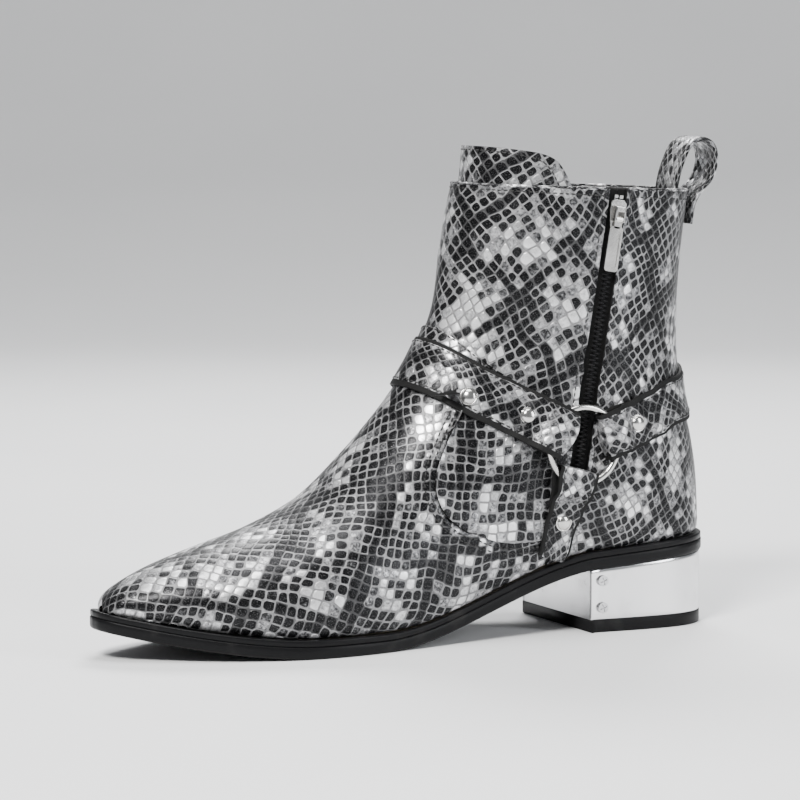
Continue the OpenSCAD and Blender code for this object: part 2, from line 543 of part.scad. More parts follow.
// Ring-to-ring strap: folded end, run over the middle, folded end
module harness_strap(a, b) {
    mm = 1 / (8 * STEP);
    ends = [for (f = fold) strap_ring(a, b, f[0][0] * mm, f[0][1], f[1][0] * mm, f[1][1], f[0][0], INNER)];
    far = [for (f = fold) strap_ring(a, b, 1 - f[0][0] * mm, f[0][1], 1 - f[1][0] * mm, f[1][1], f[0][0],
        OUTER)];
    middle = [for (k = [1 : 35]) let (s = mix(26 * mm, 1 - 26 * mm, k / 36)) strap_ring(a, b, s,
        strap_top, s, strap_gap, 99, INNER)];
    rings(concat(flip(ends), middle, far));
}
module front_strap() {
    centred() color([0.45, 0.45, 0.47]) harness_strap(strap_edge(front_dir, front_w, 1, front_end,
        ridge_mid, true), strap_edge(front_dir, front_w, -1, front_end, ridge_mid, true));
}
module rear_strap() {
    centred() color([0.45, 0.45, 0.47]) harness_strap(strap_edge(rear_dir, rear_w, -1, rear_end,
        back_mid, false), strap_edge(rear_dir, rear_w, 1, rear_end, back_mid, false));
}
foot_rise = 3.5;  // the down strap's foot stays this far above the welt
foot_end = norm(place(62.3, ref_seat_z(62.3)) + [0, foot_rise] - ring_c);
function down_edge(side, edge) = let (e = [down_dir[1], -down_dir[0]] * edge * down_w / 2)
    [for (k = [0 : 4]) uw_real(ring_c + down_dir * mix(down_end, foot_end, k / 4) + e * (1 - 0.06 * k),
        side)];
module down_strap(side) {
    a = down_edge(side, -side);
    b = down_edge(side, side);
    mm = 1 / (foot_end - down_end);
    ends = [for (f = fold) strap_ring(a, b, f[0][0] * mm, f[0][1], f[1][0] * mm, f[1][1], f[0][0], side)];
    run = [for (k = [1 : 5]) let (s = mix(26 * mm, 1, k / 5)) strap_ring(a, b, s, strap_top, s,
        strap_gap, 99, side)];
    centred() color([0.45, 0.45, 0.47]) rings(concat(flip(ends), run));
}
module down_strap_inner() { down_strap(INNER); }
module down_strap_outer() { down_strap(OUTER); }
module ring(side) {
    centred() color([0.75, 0.75, 0.74]) translate([side * (ring_face(side) + ring_mid), ring_c[0],
        ring_c[1]]) rotate([0, 90, 0])
        rotate_extrude() translate([ring_r, 0]) circle(d = ring_wire);
}
module ring_inner() { ring(INNER); }
module ring_outer() { ring(OUTER); }

// Rivets: distance along a strap from the ring's centre, or a fixed height on the leather
module on_strap(p, h) {
    n = skin_normal(p[0], p[1]);
    x = unit(cross([0, 0, 1], n));
    y = cross(n, x);
    o = on_skin(p[0], p[1], h);
    multmatrix([[x[0], y[0], n[0], o[0]], [x[1], y[1], n[1], o[1]], [x[2], y[2], n[2], o[2]]]) children();
}
cap_h = 1.9;
module rivet(h) {
    r = rivet_d / 2;
    rotate_extrude() polygon(concat([[0, 0.05], [r - 0.3, 0.05], [r, 0.4]],
        [for (a = [15 : 15 : 90]) [r * cos(a), 0.4 + (cap_h - 0.4) * sin(a)]]));
    translate([0, 0, 0.2 - h]) cylinder(r = 1.1, h = h);
}
function strap_uw(dir, d, side) = uw_real(ring_c + dir * d, side);
rivet_rows = [
    [strap_uw(front_dir, 29, INNER), strap_top + 1.1], [[strap_uw(front_dir, 68, INNER)[0], 0.36],
        strap_top + 0.2],
    [strap_uw(front_dir, 27, OUTER), strap_top + 1.25], [strap_uw(front_dir, 40, OUTER), strap_top + 0.2],
    [strap_uw(rear_dir, 29.5, INNER), strap_top + 1.3], [strap_uw(rear_dir, 29.5, OUTER), strap_top + 1.3],
    [strap_uw(down_dir, 36, INNER), strap_top + 0.5], [strap_uw(down_dir, 36, OUTER), strap_top + 0.5]];
module strap_rivets() {
    centred() color([0.8, 0.79, 0.76]) for (r = rivet_rows) on_strap(r[0], r[1]) rivet(r[1]);
}

// ---- Zip ----
zip_a = place(zip_low[0], zip_low[1]);
zip_b = place(zip_top[0], zip_top[1] - 2);
zip_len = norm(zip_b - zip_a);
zip_tilt = atan2(zip_b[0] - zip_a[0], zip_b[1] - zip_a[1]);
zip_mid_uw = uw_real((zip_a + zip_b) / 2, INNER);
zip_x = skin_point(zip_mid_uw[0], zip_mid_uw[1])[0];
// Local frame on the zip: X outwards, Y backwards across it, Z up along it, from its lower end
module zip_frame() { translate([zip_x, zip_a[0], zip_a[1]]) rotate([-zip_tilt, 0, 0]) children(); }
teeth_top = -0.3;
tooth_pitch = 2.2;
tooth_h = 0.9;
module zip_comb(side) {
    w = teeth_w / 2;
    n = floor((zip_len - 4) / tooth_pitch);
    z0 = 2 + (side > 0 ? tooth_pitch / 2 : 0);
    zip_frame() translate([h_in + 0.1, 0, 0]) rotate([90, 0,
        90]) linear_extrude(teeth_top - h_in - 0.1) polygon(concat(
        [[side * w, z0 - 0.3], [side * w, z0 + n * tooth_pitch + 0.3], [side * w * 0.55,
            z0 + n * tooth_pitch + 0.3]],
        [for (k = [n - 1 : -1 : 0]) each [[side * w * 0.55, z0 + k * tooth_pitch + tooth_h],
            [-side * w * 0.35, z0 + k * tooth_pitch + tooth_h],
            [-side * w * 0.35, z0 + k * tooth_pitch], [side * w * 0.55, z0 + k * tooth_pitch]]],
                [[side * w * 0.55, z0 - 0.3]]));
}
module zip_teeth_front() { centred() color([0.08, 0.08, 0.08]) zip_comb(-1); }
module zip_teeth_rear() { centred() color([0.08, 0.08, 0.08]) zip_comb(1); }
module zip_tape(a, b) {
    ea = top_row(zip_edge(INNER, a));
    eb = top_row(zip_edge(INNER, b));
    skin([for (i = [0 : 16]) [for (j = [0 : 3]) mix(smooth_path(eb, i / 16), smooth_path(ea, i / 16),
        j / 3)]], h_in - layer_gap, lining_out + layer_gap);
}
module zip_tape_front() { centred() color([0.04, 0.04, 0.04]) zip_tape(-12, -0.3); }
module zip_tape_rear() { centred() color([0.04, 0.04, 0.04]) zip_tape(0.3, 12); }
module zip_top_stops() {
    centred() color([0.7, 0.7, 0.7]) for (s = [-1, 1]) zip_frame() translate([h_in + 0.15,
        s > 0 ? 0.4 : -2.2, zip_len - 1.7]) cube([1.2, 1.8, 1.5]);
}
module zip_bottom_stop() { centred() color([0.7, 0.7, 0.7]) zip_frame() translate([h_in + 0.15, -2.6,
    -0.6]) cube([1.1, 5.2, 1.6]); }
slider_len = 13;
slider_w = 8;
slider_z = zip_len - slider_len - 2.2;
pivot_r = 0.7;
pivot_x = 2.9;
pivot_z = slider_z + 4;
eye_w = 3.2;
module zip_slider() {
    w = slider_w / 2;
    centred() color([0.78, 0.78, 0.78]) zip_frame() {
        difference() {
            union() {
                translate([teeth_top + 0.15, 0, slider_z]) rotate([90, 0, 90]) linear_extrude(1.35)
                    polygon([[-w * 0.72, 0], [w * 0.72, 0], [w, slider_len * 0.6], [w, slider_len - 1.4],
                        [w - 1.4, slider_len], [1.4 - w, slider_len], [-w, slider_len - 1.4], [-w,
                        slider_len * 0.6]]);
                for (s = [-1, 1]) translate([1.1, s > 0 ? eye_w / 2 + 0.15 : -eye_w / 2 - 1.05,
                    pivot_z - 1.3]) cube([3.1, 0.9, 2.6 + 4.5]);
                translate([2.9, -eye_w / 2 - 1.05, pivot_z + 3.4]) cube([1.3, eye_w + 2.1, 2.4]);
            }
        }
        translate([pivot_x, -eye_w / 2 - 1, pivot_z]) rotate([-90, 0, 0]) cylinder(r = pivot_r,
            h = eye_w + 2);
    }
}
module zip_puller() {
    w = 3.4;
    centred() color([0.76, 0.76, 0.76]) zip_frame() translate([pivot_x, 0, pivot_z]) difference() {
        union() {
            translate([0, -eye_w / 2, 0]) rotate([-90, 0, 0]) cylinder(r = 1.4, h = eye_w);
            translate([puller_top - pivot_x - 0.9, -eye_w / 2, -4.4]) cube([0.9, eye_w, 4.4]);
            translate([puller_top - pivot_x - 0.9, -w, -puller_len]) cube([0.9, 2 * w, puller_len - 3.4]);
        }
        translate([0, -5, 0]) rotate([-90, 0, 0]) cylinder(r = pivot_r + 0.05, h = 10);
        translate([puller_top - pivot_x - 0.3, -w + 1.1, -puller_len + 5]) cube([2, 2 * w - 2.2,
            puller_len - 10.5]);
        translate([-5, 0, -puller_len + 2.6]) rotate([0, 90, 0]) cylinder(r = 0.9, h = 10);
    }
}

// ---- Pull loop ----
// Middle of the folded strap, from inside the back over the top and down outside, from the top edge
LOOP = [[-9.4, -16], [-8, -5], [-6.8, 3], [-4.6, 11], [0.2, 20.5], [6.4, 23.6], [12.6, 20.6], [14.2, 13],
    [11.4, 5], [5.6, -1], [2.2, -7], [0.6, -16]];
loop_t2 = 2.2;
module pull_loop() {
    top = skin_point(TOP, 1);
    k = loop_h / 24;
    n = 40;
    p = [for (i = [0 : n]) let (q = smooth_path(LOOP, i / n)) [q[0], q[1] > 0 ? q[1] * k : q[1]]];
    centred() color([0.5, 0.5, 0.52]) rings([for (i = [0 : n]) let (t = unit(p[min(n, i + 1)] - p[max(0,
        i - 1)]), e = [-t[1], t[0]] * loop_t2 / 2,
        a = p[i] + e, b = p[i] - e)
        [[loop_w / 2, top[1] + a[0], top[2] + a[1]], [loop_w / 2, top[1] + b[0], top[2] + b[1]],
         [-loop_w / 2, top[1] + b[0], top[2] + b[1]], [-loop_w / 2, top[1] + a[0], top[2] + a[1]]]]);
}

// Stands the boot over the middle of its own box
loop_back = skin_point(TOP, 1)[1] + 15.4;
side_in = max([for (p = edge_loop) p[0]]);
side_out = min([for (p = edge_loop) p[0]]);
module centred() { translate([-(side_in + side_out) / 2, (half_len - loop_back) / 2, 0]) children(); }
module rear_quarter_inner() { rear_quarter(INNER); }
module rear_quarter_outer() { rear_quarter(OUTER); }

vamp();
front_panel();
rear_quarter_inner();
rear_quarter_outer();
ankle_band();
tongue();
lining();
toe_puff();
heel_counter();
back_seam_strip();
insole_board();
cork_filler();
steel_shank();
sock_liner();
welt();
outsole();
heel_block();
heel_plate();
heel_breast_plate();
heel_plate_screws();
heel_fixing_screw();
top_lift();
top_lift_nails();
zip_tape_front();
zip_tape_rear();
zip_teeth_front();
zip_teeth_rear();
zip_top_stops();
zip_bottom_stop();
zip_slider();
zip_puller();
front_strap();
rear_strap();
down_strap_inner();
down_strap_outer();
strap_rivets();
ring_inner();
ring_outer();
pull_loop();
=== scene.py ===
import math
import bmesh
import bpy
import numpy as np
from mathutils import Matrix, Vector


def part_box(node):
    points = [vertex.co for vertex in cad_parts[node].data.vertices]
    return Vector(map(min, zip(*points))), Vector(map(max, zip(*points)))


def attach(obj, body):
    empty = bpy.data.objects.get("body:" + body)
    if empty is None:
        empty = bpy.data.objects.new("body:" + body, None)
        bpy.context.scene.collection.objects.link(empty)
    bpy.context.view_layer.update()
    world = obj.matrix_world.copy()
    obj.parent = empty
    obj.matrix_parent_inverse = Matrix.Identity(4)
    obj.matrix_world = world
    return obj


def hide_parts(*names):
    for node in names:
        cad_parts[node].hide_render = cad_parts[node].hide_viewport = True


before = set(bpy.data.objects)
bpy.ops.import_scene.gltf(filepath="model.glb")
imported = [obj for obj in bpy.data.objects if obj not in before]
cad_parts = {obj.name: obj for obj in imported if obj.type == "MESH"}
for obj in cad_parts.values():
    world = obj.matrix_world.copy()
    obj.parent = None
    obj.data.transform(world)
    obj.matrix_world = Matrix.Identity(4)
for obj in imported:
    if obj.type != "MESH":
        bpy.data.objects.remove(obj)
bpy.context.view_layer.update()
mm = 0.001

# The last: the same fanned sections as the CAD model, in mm
lastRows = np.array([
    [-147, 0, -146.6, 23.5, 1.5, 2.4, 0.4, 2, 5],
    [-145.2, 0, -144, 28, 7, 8.8, 0.38, 2.1, 4.8],
    [-139, 0, -136, 33, 12, 15, 0.36, 2.1, 4.2],
    [-124, 0, -119, 40, 20.5, 24.5, 0.33, 2.1, 3.4],
    [-102, 0, -95, 47.3, 31, 35, 0.3, 2.05, 2.2],
    [-76, 0, -69, 54.5, 40.5, 44.5, 0.26, 2, 0.3],
    [-46, 0, -42, 67.5, 46, 49.5, 0.24, 1.9, -1.6],
    [-16, 0, -22, 87, 43, 47.5, 0.24, 1.8, -2.6],
    [14, 0, -9, 102, 37.5, 43.5, 0.28, 1.8, -2.2],
    [46, 0, 0, 114, 33, 40.5, 0.33, 1.85, -1.2],
    [84, 0, 6.5, 124.5, 31.5, 38.3, 0.4, 1.9, -0.3],
    [112, 0, 11, 132.5, 31.8, 38, 0.42, 2, 0],
    [131, 0, 14.5, 139.5, 28.5, 38, 0.44, 2, 0],
    [142.5, 0.3, 17, 145, 21, 38, 0.46, 2, 0],
    [148.8, 3, 18.8, 150.5, 11, 38, 0.46, 2, 0],
    [151.8, 11, 20, 156, 3, 38, 0.46, 2, 0],
    [152, 24, 21, 162, 0, 38, 0.46, 2, 0],
    [149, 42, 21.8, 169, 0, 38, 0.46, 2, 0],
    [143.8, 62, 22.8, 176.5, 0, 38, 0.46, 2, 0],
    [141, 84, 24.5, 185, 0, 38, 0.46, 2, 0],
    [140.9, 106, 26, 192, 0, 38, 0.46, 2.05, 0],
    [142.6, 130, 27.8, 199, 0, 38, 0.46, 2.1, 0],
    [146.5, 159.4, 29.5, 206.5, 0, 38, 0.46, 2.1, 0],
    [149.5, 181, 31.5, 227, 0, 38, 0.46, 2.1, 0]], float)
soleRows = np.array([
    [-151, 6, 4], [-149.6, 11.5, -1.8], [-144, 18, -9.5], [-130, 26.5, -19], [-110, 36.5, -30.5], [-88, 44.5, -41.5],
    [-62, 49.5, -50], [-36, 48, -51.5], [-8, 42, -47.5], [22, 37, -41], [55, 34.5, -36], [85, 34.8, -35.2],
    [110, 35.5, -35.5], [128, 34, -34], [140, 29, -29], [147.5, 20.5, -20.5], [150.6, 10, -10], [151, 1, -1]], float)
topU = 22
seatEndU = 15
soleLayers = 8.5
breastY = 82


def spline(rows, u):
    # Catmull-Rom through the rows, u counted in rows
    u = np.clip(np.asarray(u, float), 0, len(rows) - 1)
    i = np.clip(np.floor(u).astype(int), 0, len(rows) - 2)
    t = (u - i)[..., None]
    last = len(rows) - 1
    a, b, c, d = (rows[np.clip(i + k, 0, last)] for k in (-1, 0, 1, 2))
    return 0.5 * (2 * b + (c - a) * t + (2 * a - 5 * b + 4 * c - d) * t**2 + (3 * b - a - 3 * c + d) * t**3)


def soleZ(y):
    # Underside of the outsole along the boot: toe spring, flat tread, shank and heel seat
    y = np.asarray(y, float)
    t = np.clip((y + 26) / (breastY + 26), 0, 1)
    toe = 13.5 * (np.clip(-62 - y, 0, None) / 89) ** 1.6
    shank = 29 * (3 * t**2 - 2 * t**3) + 0.16 * (breastY + 26) * (t**3 - t**2)
    return toe + shank + 0.078 * np.clip(y - breastY, 0, None)


def seatZ(y):
    return soleZ(y) + soleLayers


def midV(u):
    return np.where(u < 7, 0.16, np.where(u > 16, 0.5, 0.16 + 0.34 * (u - 7) / 9))


# The CAD model stands over the middle of its own box, so the last is moved the same way
outsoleLow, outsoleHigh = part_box("outsole")
bootShift = np.array([(outsoleLow.x + outsoleHigh.x) / 2 / mm, (outsoleLow.y + outsoleHigh.y) / 2 / mm, 0])
soleSamples = spline(soleRows, np.linspace(0, len(soleRows) - 1, 400))
bootShift[0] -= (soleSamples[:, 1].max() + soleSamples[:, 2].min()) / 2


def skin(u, w):
    # w: -1 outer feather edge, 0 ridge, +1 inner feather edge; past 1 it carries on round the back
    u = np.asarray(u, float)
    w = np.asarray(w, float)
    w = np.where(w > 1, w - 2, w)
    r = spline(lastRows, u)
    v = 1 - np.abs(w)
    m = midV(u)
    side = np.where(w < 0, -1, 1)
    low = np.radians(90) * v / m
    high = np.radians(90) * (v - m) / (1 - m)
    feather = np.clip(r[..., 4], 0, None)
    below = v < m
    share = np.where(below, r[..., 6] * (1 - np.cos(low)),
                     r[..., 6] + (1 - r[..., 6]) * np.clip(np.sin(high), 0, None) ** (2 / r[..., 7]))
    half = np.where(below, feather + (r[..., 5] - feather) * np.sin(low),
                    r[..., 5] * np.clip(np.cos(high), 0, None) ** (2 / r[..., 7]))
    lowZ = seatZ(r[..., 0]) + np.clip(r[..., 1], 0, None)
    x = r[..., 8] + side * half
    y = r[..., 0] + (r[..., 2] - r[..., 0]) * share
    z = lowZ + (r[..., 3] - lowZ) * share
    return np.stack([x, y, z], -1) + bootShift


def skinNormal(u, w):
    step = 0.02
    u = np.maximum(np.asarray(u, float), step)
    w = np.where(np.abs(w) < step, 0, w)
    lim = np.where(u > seatEndU + 1, 2.0, 0.999)
    alongU = skin(u + step, w) - skin(np.maximum(0, u - step), w)
    acrossW = skin(u, np.minimum(lim, w + step)) - skin(u, np.maximum(-0.999, w - step))
    n = np.cross(acrossW, alongU)
    return n / np.maximum(1e-9, np.linalg.norm(n, axis=-1, keepdims=True))


def onSkin(u, w, h):
    return skin(u, w) + skinNormal(u, w) * np.asarray(h, float)[..., None]


def findUw(y, z, side):
    # The section and girth place of a side-view point, by halving the section number
    lo, hi = 1.0, 23.0
    for _ in range(26):
        m = (lo + hi) / 2
        r = spline(lastRows, m)
        b = seatZ(r[0]) + max(0, r[1])
        if (r[2] - r[0]) * (z - b) - (r[3] - b) * (y - r[0]) < 0:
            lo = m
        else:
            hi = m
    t = ((z - b) * (r[3] - b) + (y - r[0]) * (r[2] - r[0])) / ((r[3] - b) ** 2 + (r[2] - r[0]) ** 2)
    t = min(1, max(0, t))
    m = float(midV(lo))
    if t < r[6]:
        v = m * math.degrees(math.acos(1 - t / r[6])) / 90
    else:
        v = m + (1 - m) * math.degrees(math.asin(((t - r[6]) / (1 - r[6])) ** (r[7] / 2))) / 90
    return [lo, side * (1 - v)]


def ridgeAt(z):
    us = np.linspace(2, 23, 2000)
    return float(np.interp(z, spline(lastRows, us)[:, 3], us))


def backAt(z):
    us = np.linspace(14, 23, 2000)
    r = spline(lastRows, us)
    return float(np.interp(z, seatZ(r[:, 0]) + r[:, 1], us))


def uwPath(points, side):
    return [findUw(y, z, side) for y, z in points]


def curve(points, t):
    points = np.asarray(points, float)
    return spline(points, np.asarray(t, float) * (len(points) - 1))


print("last ready")


# Shader helpers: a socket that understands Python arithmetic
class Wire:
    def __init__(self, paint, socket):
        self.paint = paint
        self.socket = socket

    def math(self, operation, *others):
        settings = {"operation": operation}
        return self.paint.put("ShaderNodeMath", settings, [self, *others])[0]

    def __add__(self, other):
        return self.math("ADD", other)

    def __sub__(self, other):
        return self.math("SUBTRACT", other)

    def __mul__(self, other):
        return self.math("MULTIPLY", other)

    def __truediv__(self, other):
        return self.math("DIVIDE", other)

    def __pow__(self, other):
        return self.math("POWER", other)

    def __radd__(self, other):
        return self.math("ADD", other)

    def __rmul__(self, other):
        return self.math("MULTIPLY", other)

    def __rsub__(self, other):
        return self.paint.put("ShaderNodeMath", {"operation": "SUBTRACT"}, [other, self])[0]

    def clamp(self):
        return self.paint.put("ShaderNodeClamp", {}, [self, 0.0, 1.0])[0]

    def between(self, low, high):
        # 0 below low, 1 above high, smooth between; low may be above high to turn it round
        settings = {"interpolation_type": "SMOOTHSTEP"}
        values = {"Value": self, "From Min": low, "From Max": high}
        return self.paint.put("ShaderNodeMapRange", settings, values)[0]


class Node:
    def __init__(self, paint, node):
        self.paint = paint
        self.node = node

    def __getitem__(self, key):
        return Wire(self.paint, self.node.outputs[key])


class Paint:
    # One material: its node tree, its shader and the helpers that fill it
    def __init__(self, name, **fixed):
        self.material = bpy.data.materials.new(name)
        self.material.use_nodes = True
        self.tree = self.material.node_tree
        self.tree.nodes.clear()
        self.shader = self.tree.nodes.new("ShaderNodeBsdfPrincipled")
        out = self.tree.nodes.new("ShaderNodeOutputMaterial")
        self.tree.links.new(self.shader.outputs[0], out.inputs[0])
        for key, value in fixed.items():
            self.shader.inputs[key.replace("_", " ")].default_value = value

    def put(self, kind, settings, inputs):
        node = self.tree.nodes.new(kind)
        stops = settings.pop("stops", None)
        for key, value in settings.items():
            setattr(node, key, value)
        if stops:
            ramp = node.color_ramp
            while len(ramp.elements) < len(stops):
                ramp.elements.new(0.5)
            for element, (place, color) in zip(ramp.elements, stops):
                element.position = place
                element.color = (*color, 1)
        pairs = inputs.items() if isinstance(inputs, dict) else enumerate(inputs)
        for key, value in pairs:
            self.feed(node.inputs[key], value)
        return Node(self, node)

    def feed(self, socket, value):
        if isinstance(value, Wire):
            self.tree.links.new(value.socket, socket)
        elif isinstance(value, tuple) and len(value) == 3 and socket.type == "RGBA":
            socket.default_value = (*value, 1)
        else:
            socket.default_value = value

    def set(self, **values):
        for key, value in values.items():
            self.feed(self.shader.inputs[key.replace("_", " ")], value)

    def place(self, scale=(1, 1, 1)):
        # Object coordinates in mm, scaled
        coords = self.put("ShaderNodeTexCoord", {}, {})["Object"]
        size = tuple(s / mm for s in scale)
        return self.put("ShaderNodeMapping", {}, {"Vector": coords, "Scale": size})[0]

    def flat(self):
        return self.put("ShaderNodeUVMap", {"uv_map": "flat"}, {})[0]

    def noise(self, vector, scale, detail=2.0, rough=0.5):
        values = {"Vector": vector, "Scale": scale, "Detail": detail, "Roughness": rough}
        return self.put("ShaderNodeTexNoise", {}, values)

    def voronoi(self, vector, feature, scale, jitter):
        values = {"Vector": vector, "Scale": scale, "Randomness": jitter}
        return self.put("ShaderNodeTexVoronoi", {"feature": feature}, values)

    def blendColor(self, mask, a, b, how="MIX"):
        settings = {"data_type": "RGBA", "blend_type": how}
        node = self.put("ShaderNodeMix", settings, {0: mask})
        self.feed(node.node.inputs[6], a)
        self.feed(node.node.inputs[7], b)
        return node[2]

    def vector(self, operation, a, b):
        return self.put("ShaderNodeVectorMath", {"operation": operation}, [a, b])[0]

    def ramp(self, value, stops):
        return self.put("ShaderNodeValToRGB", {"stops": stops}, [value])[0]

    def bump(self, height, depth, strength=1.0):
        values = {"Height": height, "Distance": depth * mm, "Strength": strength}
        return self.put("ShaderNodeBump", {}, values)["Normal"]


snakeLook = {
    "cellAcross": 6.0,    # mm across one scale, corner to corner
    "cellAlong": 6.8,
    "jitter": 0.26,
    "netAcross": 46,      # mm between the dark chains, across and along
    "netAlong": 58,
    "depth": 0.4,         # mm of relief between scales
    "stops": [(0.0, (0.006, 0.006, 0.007)), (0.42, (0.014, 0.014, 0.015)), (0.52, (0.10, 0.10, 0.104)),
              (0.64, (0.42, 0.42, 0.43)), (0.82, (0.78, 0.78, 0.79)), (1.0, (0.92, 0.92, 0.93))],
}


def snakeLeather(name, size=1.0, drift=0.0, shade=0.0):
    # Embossed scales on the piece's own flat map: each scale has one tone, taken from the large markings
    look = snakeLook
    p = Paint(name, Specular_IOR_Level=0.25, Coat_Weight=0.05, Coat_Roughness=0.2)
    flat = p.flat()
    wander = p.noise(flat, 0.03, 1.0)["Color"]
    shift = p.vector("MULTIPLY", p.vector("SUBTRACT", wander, (0.5, 0.5, 0.5)), (10, 10, 0))
    moved = p.vector("ADD", flat, shift)
    parts = p.put("ShaderNodeSeparateXYZ", {}, [moved])
    x = parts[0] / (look["cellAcross"] * size)
    y = parts[1] / (look["cellAlong"] * size)
    lattice = p.put("ShaderNodeCombineXYZ", {}, [x + y, y - x, drift])[0]
    cell = p.voronoi(lattice, "F1", 1.0, look["jitter"])
    edge = p.voronoi(lattice, "DISTANCE_TO_EDGE", 1.0, look["jitter"])["Distance"]
    centre = p.put("ShaderNodeSeparateXYZ", {}, [cell["Position"]])
    cx = (centre[0] - centre[1]) * (0.5 * look["cellAcross"] * size)
    cy = (centre[0] + centre[1]) * (0.5 * look["cellAlong"] * size)
    spot = p.put("ShaderNodeCombineXYZ", {}, [cx, cy, drift * 37])[0]
    # large markings: dark chains cross in long diamonds, pale in their middles
    stray = p.put("ShaderNodeSeparateColor", {}, [p.noise(spot, 0.03, 3.0, 0.6)["Color"]])
    across = cx / look["netAcross"] + (stray[0] - 0.5) * 0.9
    along = cy / look["netAlong"] + (stray[1] - 0.5) * 0.9
    one = (across + along + drift * 0.37).math("PINGPONG", 0.5)
    two = (along - across + drift * 0.61).math("PINGPONG", 0.5)
    chain = one.math("MINIMUM", two)
    band = chain.between(0.11, 0.04)
    blotch = p.noise(spot, 0.05, 2.5, 0.6)[0]
    own = p.put("ShaderNodeSeparateColor", {}, [cell["Color"]])
    tone = 0.26 + shade + chain * 0.95 + (blotch - 0.5) * 2.0 + (own[0] - 0.5) * 0.66 - band * 0.95
    speck = p.noise(flat, 1.7, 3.0, 0.75)[0]
    fleck = p.noise(flat, 0.5, 4.0, 0.75)[0]
    scale = p.ramp((tone + (fleck - 0.5) * 0.8).clamp(), look["stops"])
    rubbed = (speck - 0.55).clamp() * 3.2
    worn = p.blendColor(rubbed, scale, (0.34, 0.34, 0.345))
    # the skin between scales is mid grey: paler than a dark scale and darker than a pale one
    between = p.blendColor((fleck - 0.25).clamp() * 1.5, (0.13, 0.13, 0.135), (0.46, 0.46, 0.465))
    between = p.blendColor(band * 0.85, between, (0.02, 0.02, 0.021))
    crease = p.blendColor(edge.between(0.03, 0.0) * 0.6 * (tone * 1.6).clamp(), between, (0.02, 0.02, 0.021))
    round_ = cell["Distance"].between(0.58, 0.46)
    body = edge.between(0.06, 0.115) * (round_ * 0.92 + 0.08)
    p.set(Base_Color=p.blendColor(body, crease, worn))
    dome = body * (1.0 - cell["Distance"] * cell["Distance"] * 1.1)
    height = dome + speck * 0.14
    p.set(Normal=p.bump(height, look["depth"]), Roughness=0.46 - body * 0.14 + (speck - 0.5) * 0.3,
          Metallic=body * 0.25 + 0.45)
    return p.material


def cutEdge():
    # Painted edge of the cut leather
    p = Paint("cutEdge", Specular_IOR_Level=0.12)
    grain = p.noise(p.place(), 1.6, 3.0)[0]
    p.set(Base_Color=p.blendColor(grain, (0.004, 0.004, 0.004), (0.016, 0.016, 0.016)),
          Roughness=grain * 0.2 + 0.55, Normal=p.bump(grain, 0.08))
    return p.material


def thread(name, dark, light):
    p = Paint(name)
    fibre = p.noise(p.place(), 3.5, 2.0)[0]
    p.set(Base_Color=p.blendColor(fibre, dark, light), Roughness=0.62 + fibre * 0.15,
          Normal=p.bump(fibre, 0.08))
    return p.material


def liningLeather():
    p = Paint("blackLining", Specular_IOR_Level=0.2)
    at = p.place()
    pores = p.voronoi(at, "F1", 0.9, 1.0)["Distance"]
    crease = p.noise(at, 0.12, 4.0, 0.6)[0]
    p.set(Base_Color=p.blendColor(crease, (0.007, 0.007, 0.0075), (0.024, 0.0235, 0.024)),
          Roughness=0.5 + crease * 0.2, Normal=p.bump(pores * 0.6 + crease, 0.18))
    return p.material


def soleRubber(name, gloss):
    p = Paint(name, Specular_IOR_Level=0.14)
    at = p.place()
    speck = p.noise(at, 1.4, 4.0, 0.65)[0]
    dust = p.noise(at, 0.06, 3.0, 0.6)[0]
    scuff = (dust.between(0.56, 0.72) * speck).clamp()
    p.set(Base_Color=p.blendColor(scuff, (0.004, 0.004, 0.0045), (0.02, 0.0195, 0.019)),
          Roughness=gloss + scuff * 0.2 + speck * 0.08, Normal=p.bump(speck, 0.06))
    return p.material


def metal(name, color, rough, brush, strength):
    # Brushed or polished plate: fine lines along the short side of brush
    p = Paint(name, Metallic=1.0)
    line = p.noise(p.place(brush), 1.0, 3.0, 0.7)[0]
    smear = p.noise(p.place(), 0.05, 3.0, 0.6)[0]
    dull = smear.between(0.45, 0.75)
    p.set(Base_Color=p.blendColor(dull * 0.5, color, tuple(c * 0.72 for c in color)),
          Roughness=rough + line * 0.10 + dull * 0.10, Normal=p.bump(line, strength))
    return p.material


def zipWeave():
    p = Paint("zipWeave", Specular_IOR_Level=0.1)
    at = p.place()
    settings = {"wave_type": "BANDS", "bands_direction": "Z"}
    weave = p.put("ShaderNodeTexWave", settings, {"Vector": at, "Scale": 0.55, "Distortion": 1.5})[1]
    lint = p.noise(at, 0.8, 3.0)[0]
    p.set(Base_Color=p.blendColor(lint, (0.003, 0.003, 0.003), (0.012, 0.012, 0.012)),
          Roughness=0.75 + lint * 0.15, Normal=p.bump(weave + lint, 0.15))
    return p.material


def board(name, dark, light, scale):
    p = Paint(name)
    fibre = p.noise(p.place(), scale, 5.0, 0.7)[0]
    p.set(Base_Color=p.blendColor(fibre, dark, light), Roughness=0.75 + fibre * 0.15,
          Normal=p.bump(fibre, 0.2))
    return p.material


print("materials ready")


# Meshes
def finishObject(name, bm, materials, body="boot", smooth=True):
    mesh = bpy.data.meshes.new(name)
    for face in bm.faces:
        face.smooth = smooth
    bm.to_mesh(mesh)
    bm.free()
    obj = bpy.data.objects.new(name, mesh)
    bpy.context.scene.collection.objects.link(obj)
    for material in materials:
        mesh.materials.append(material)
    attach(obj, body)
    return obj


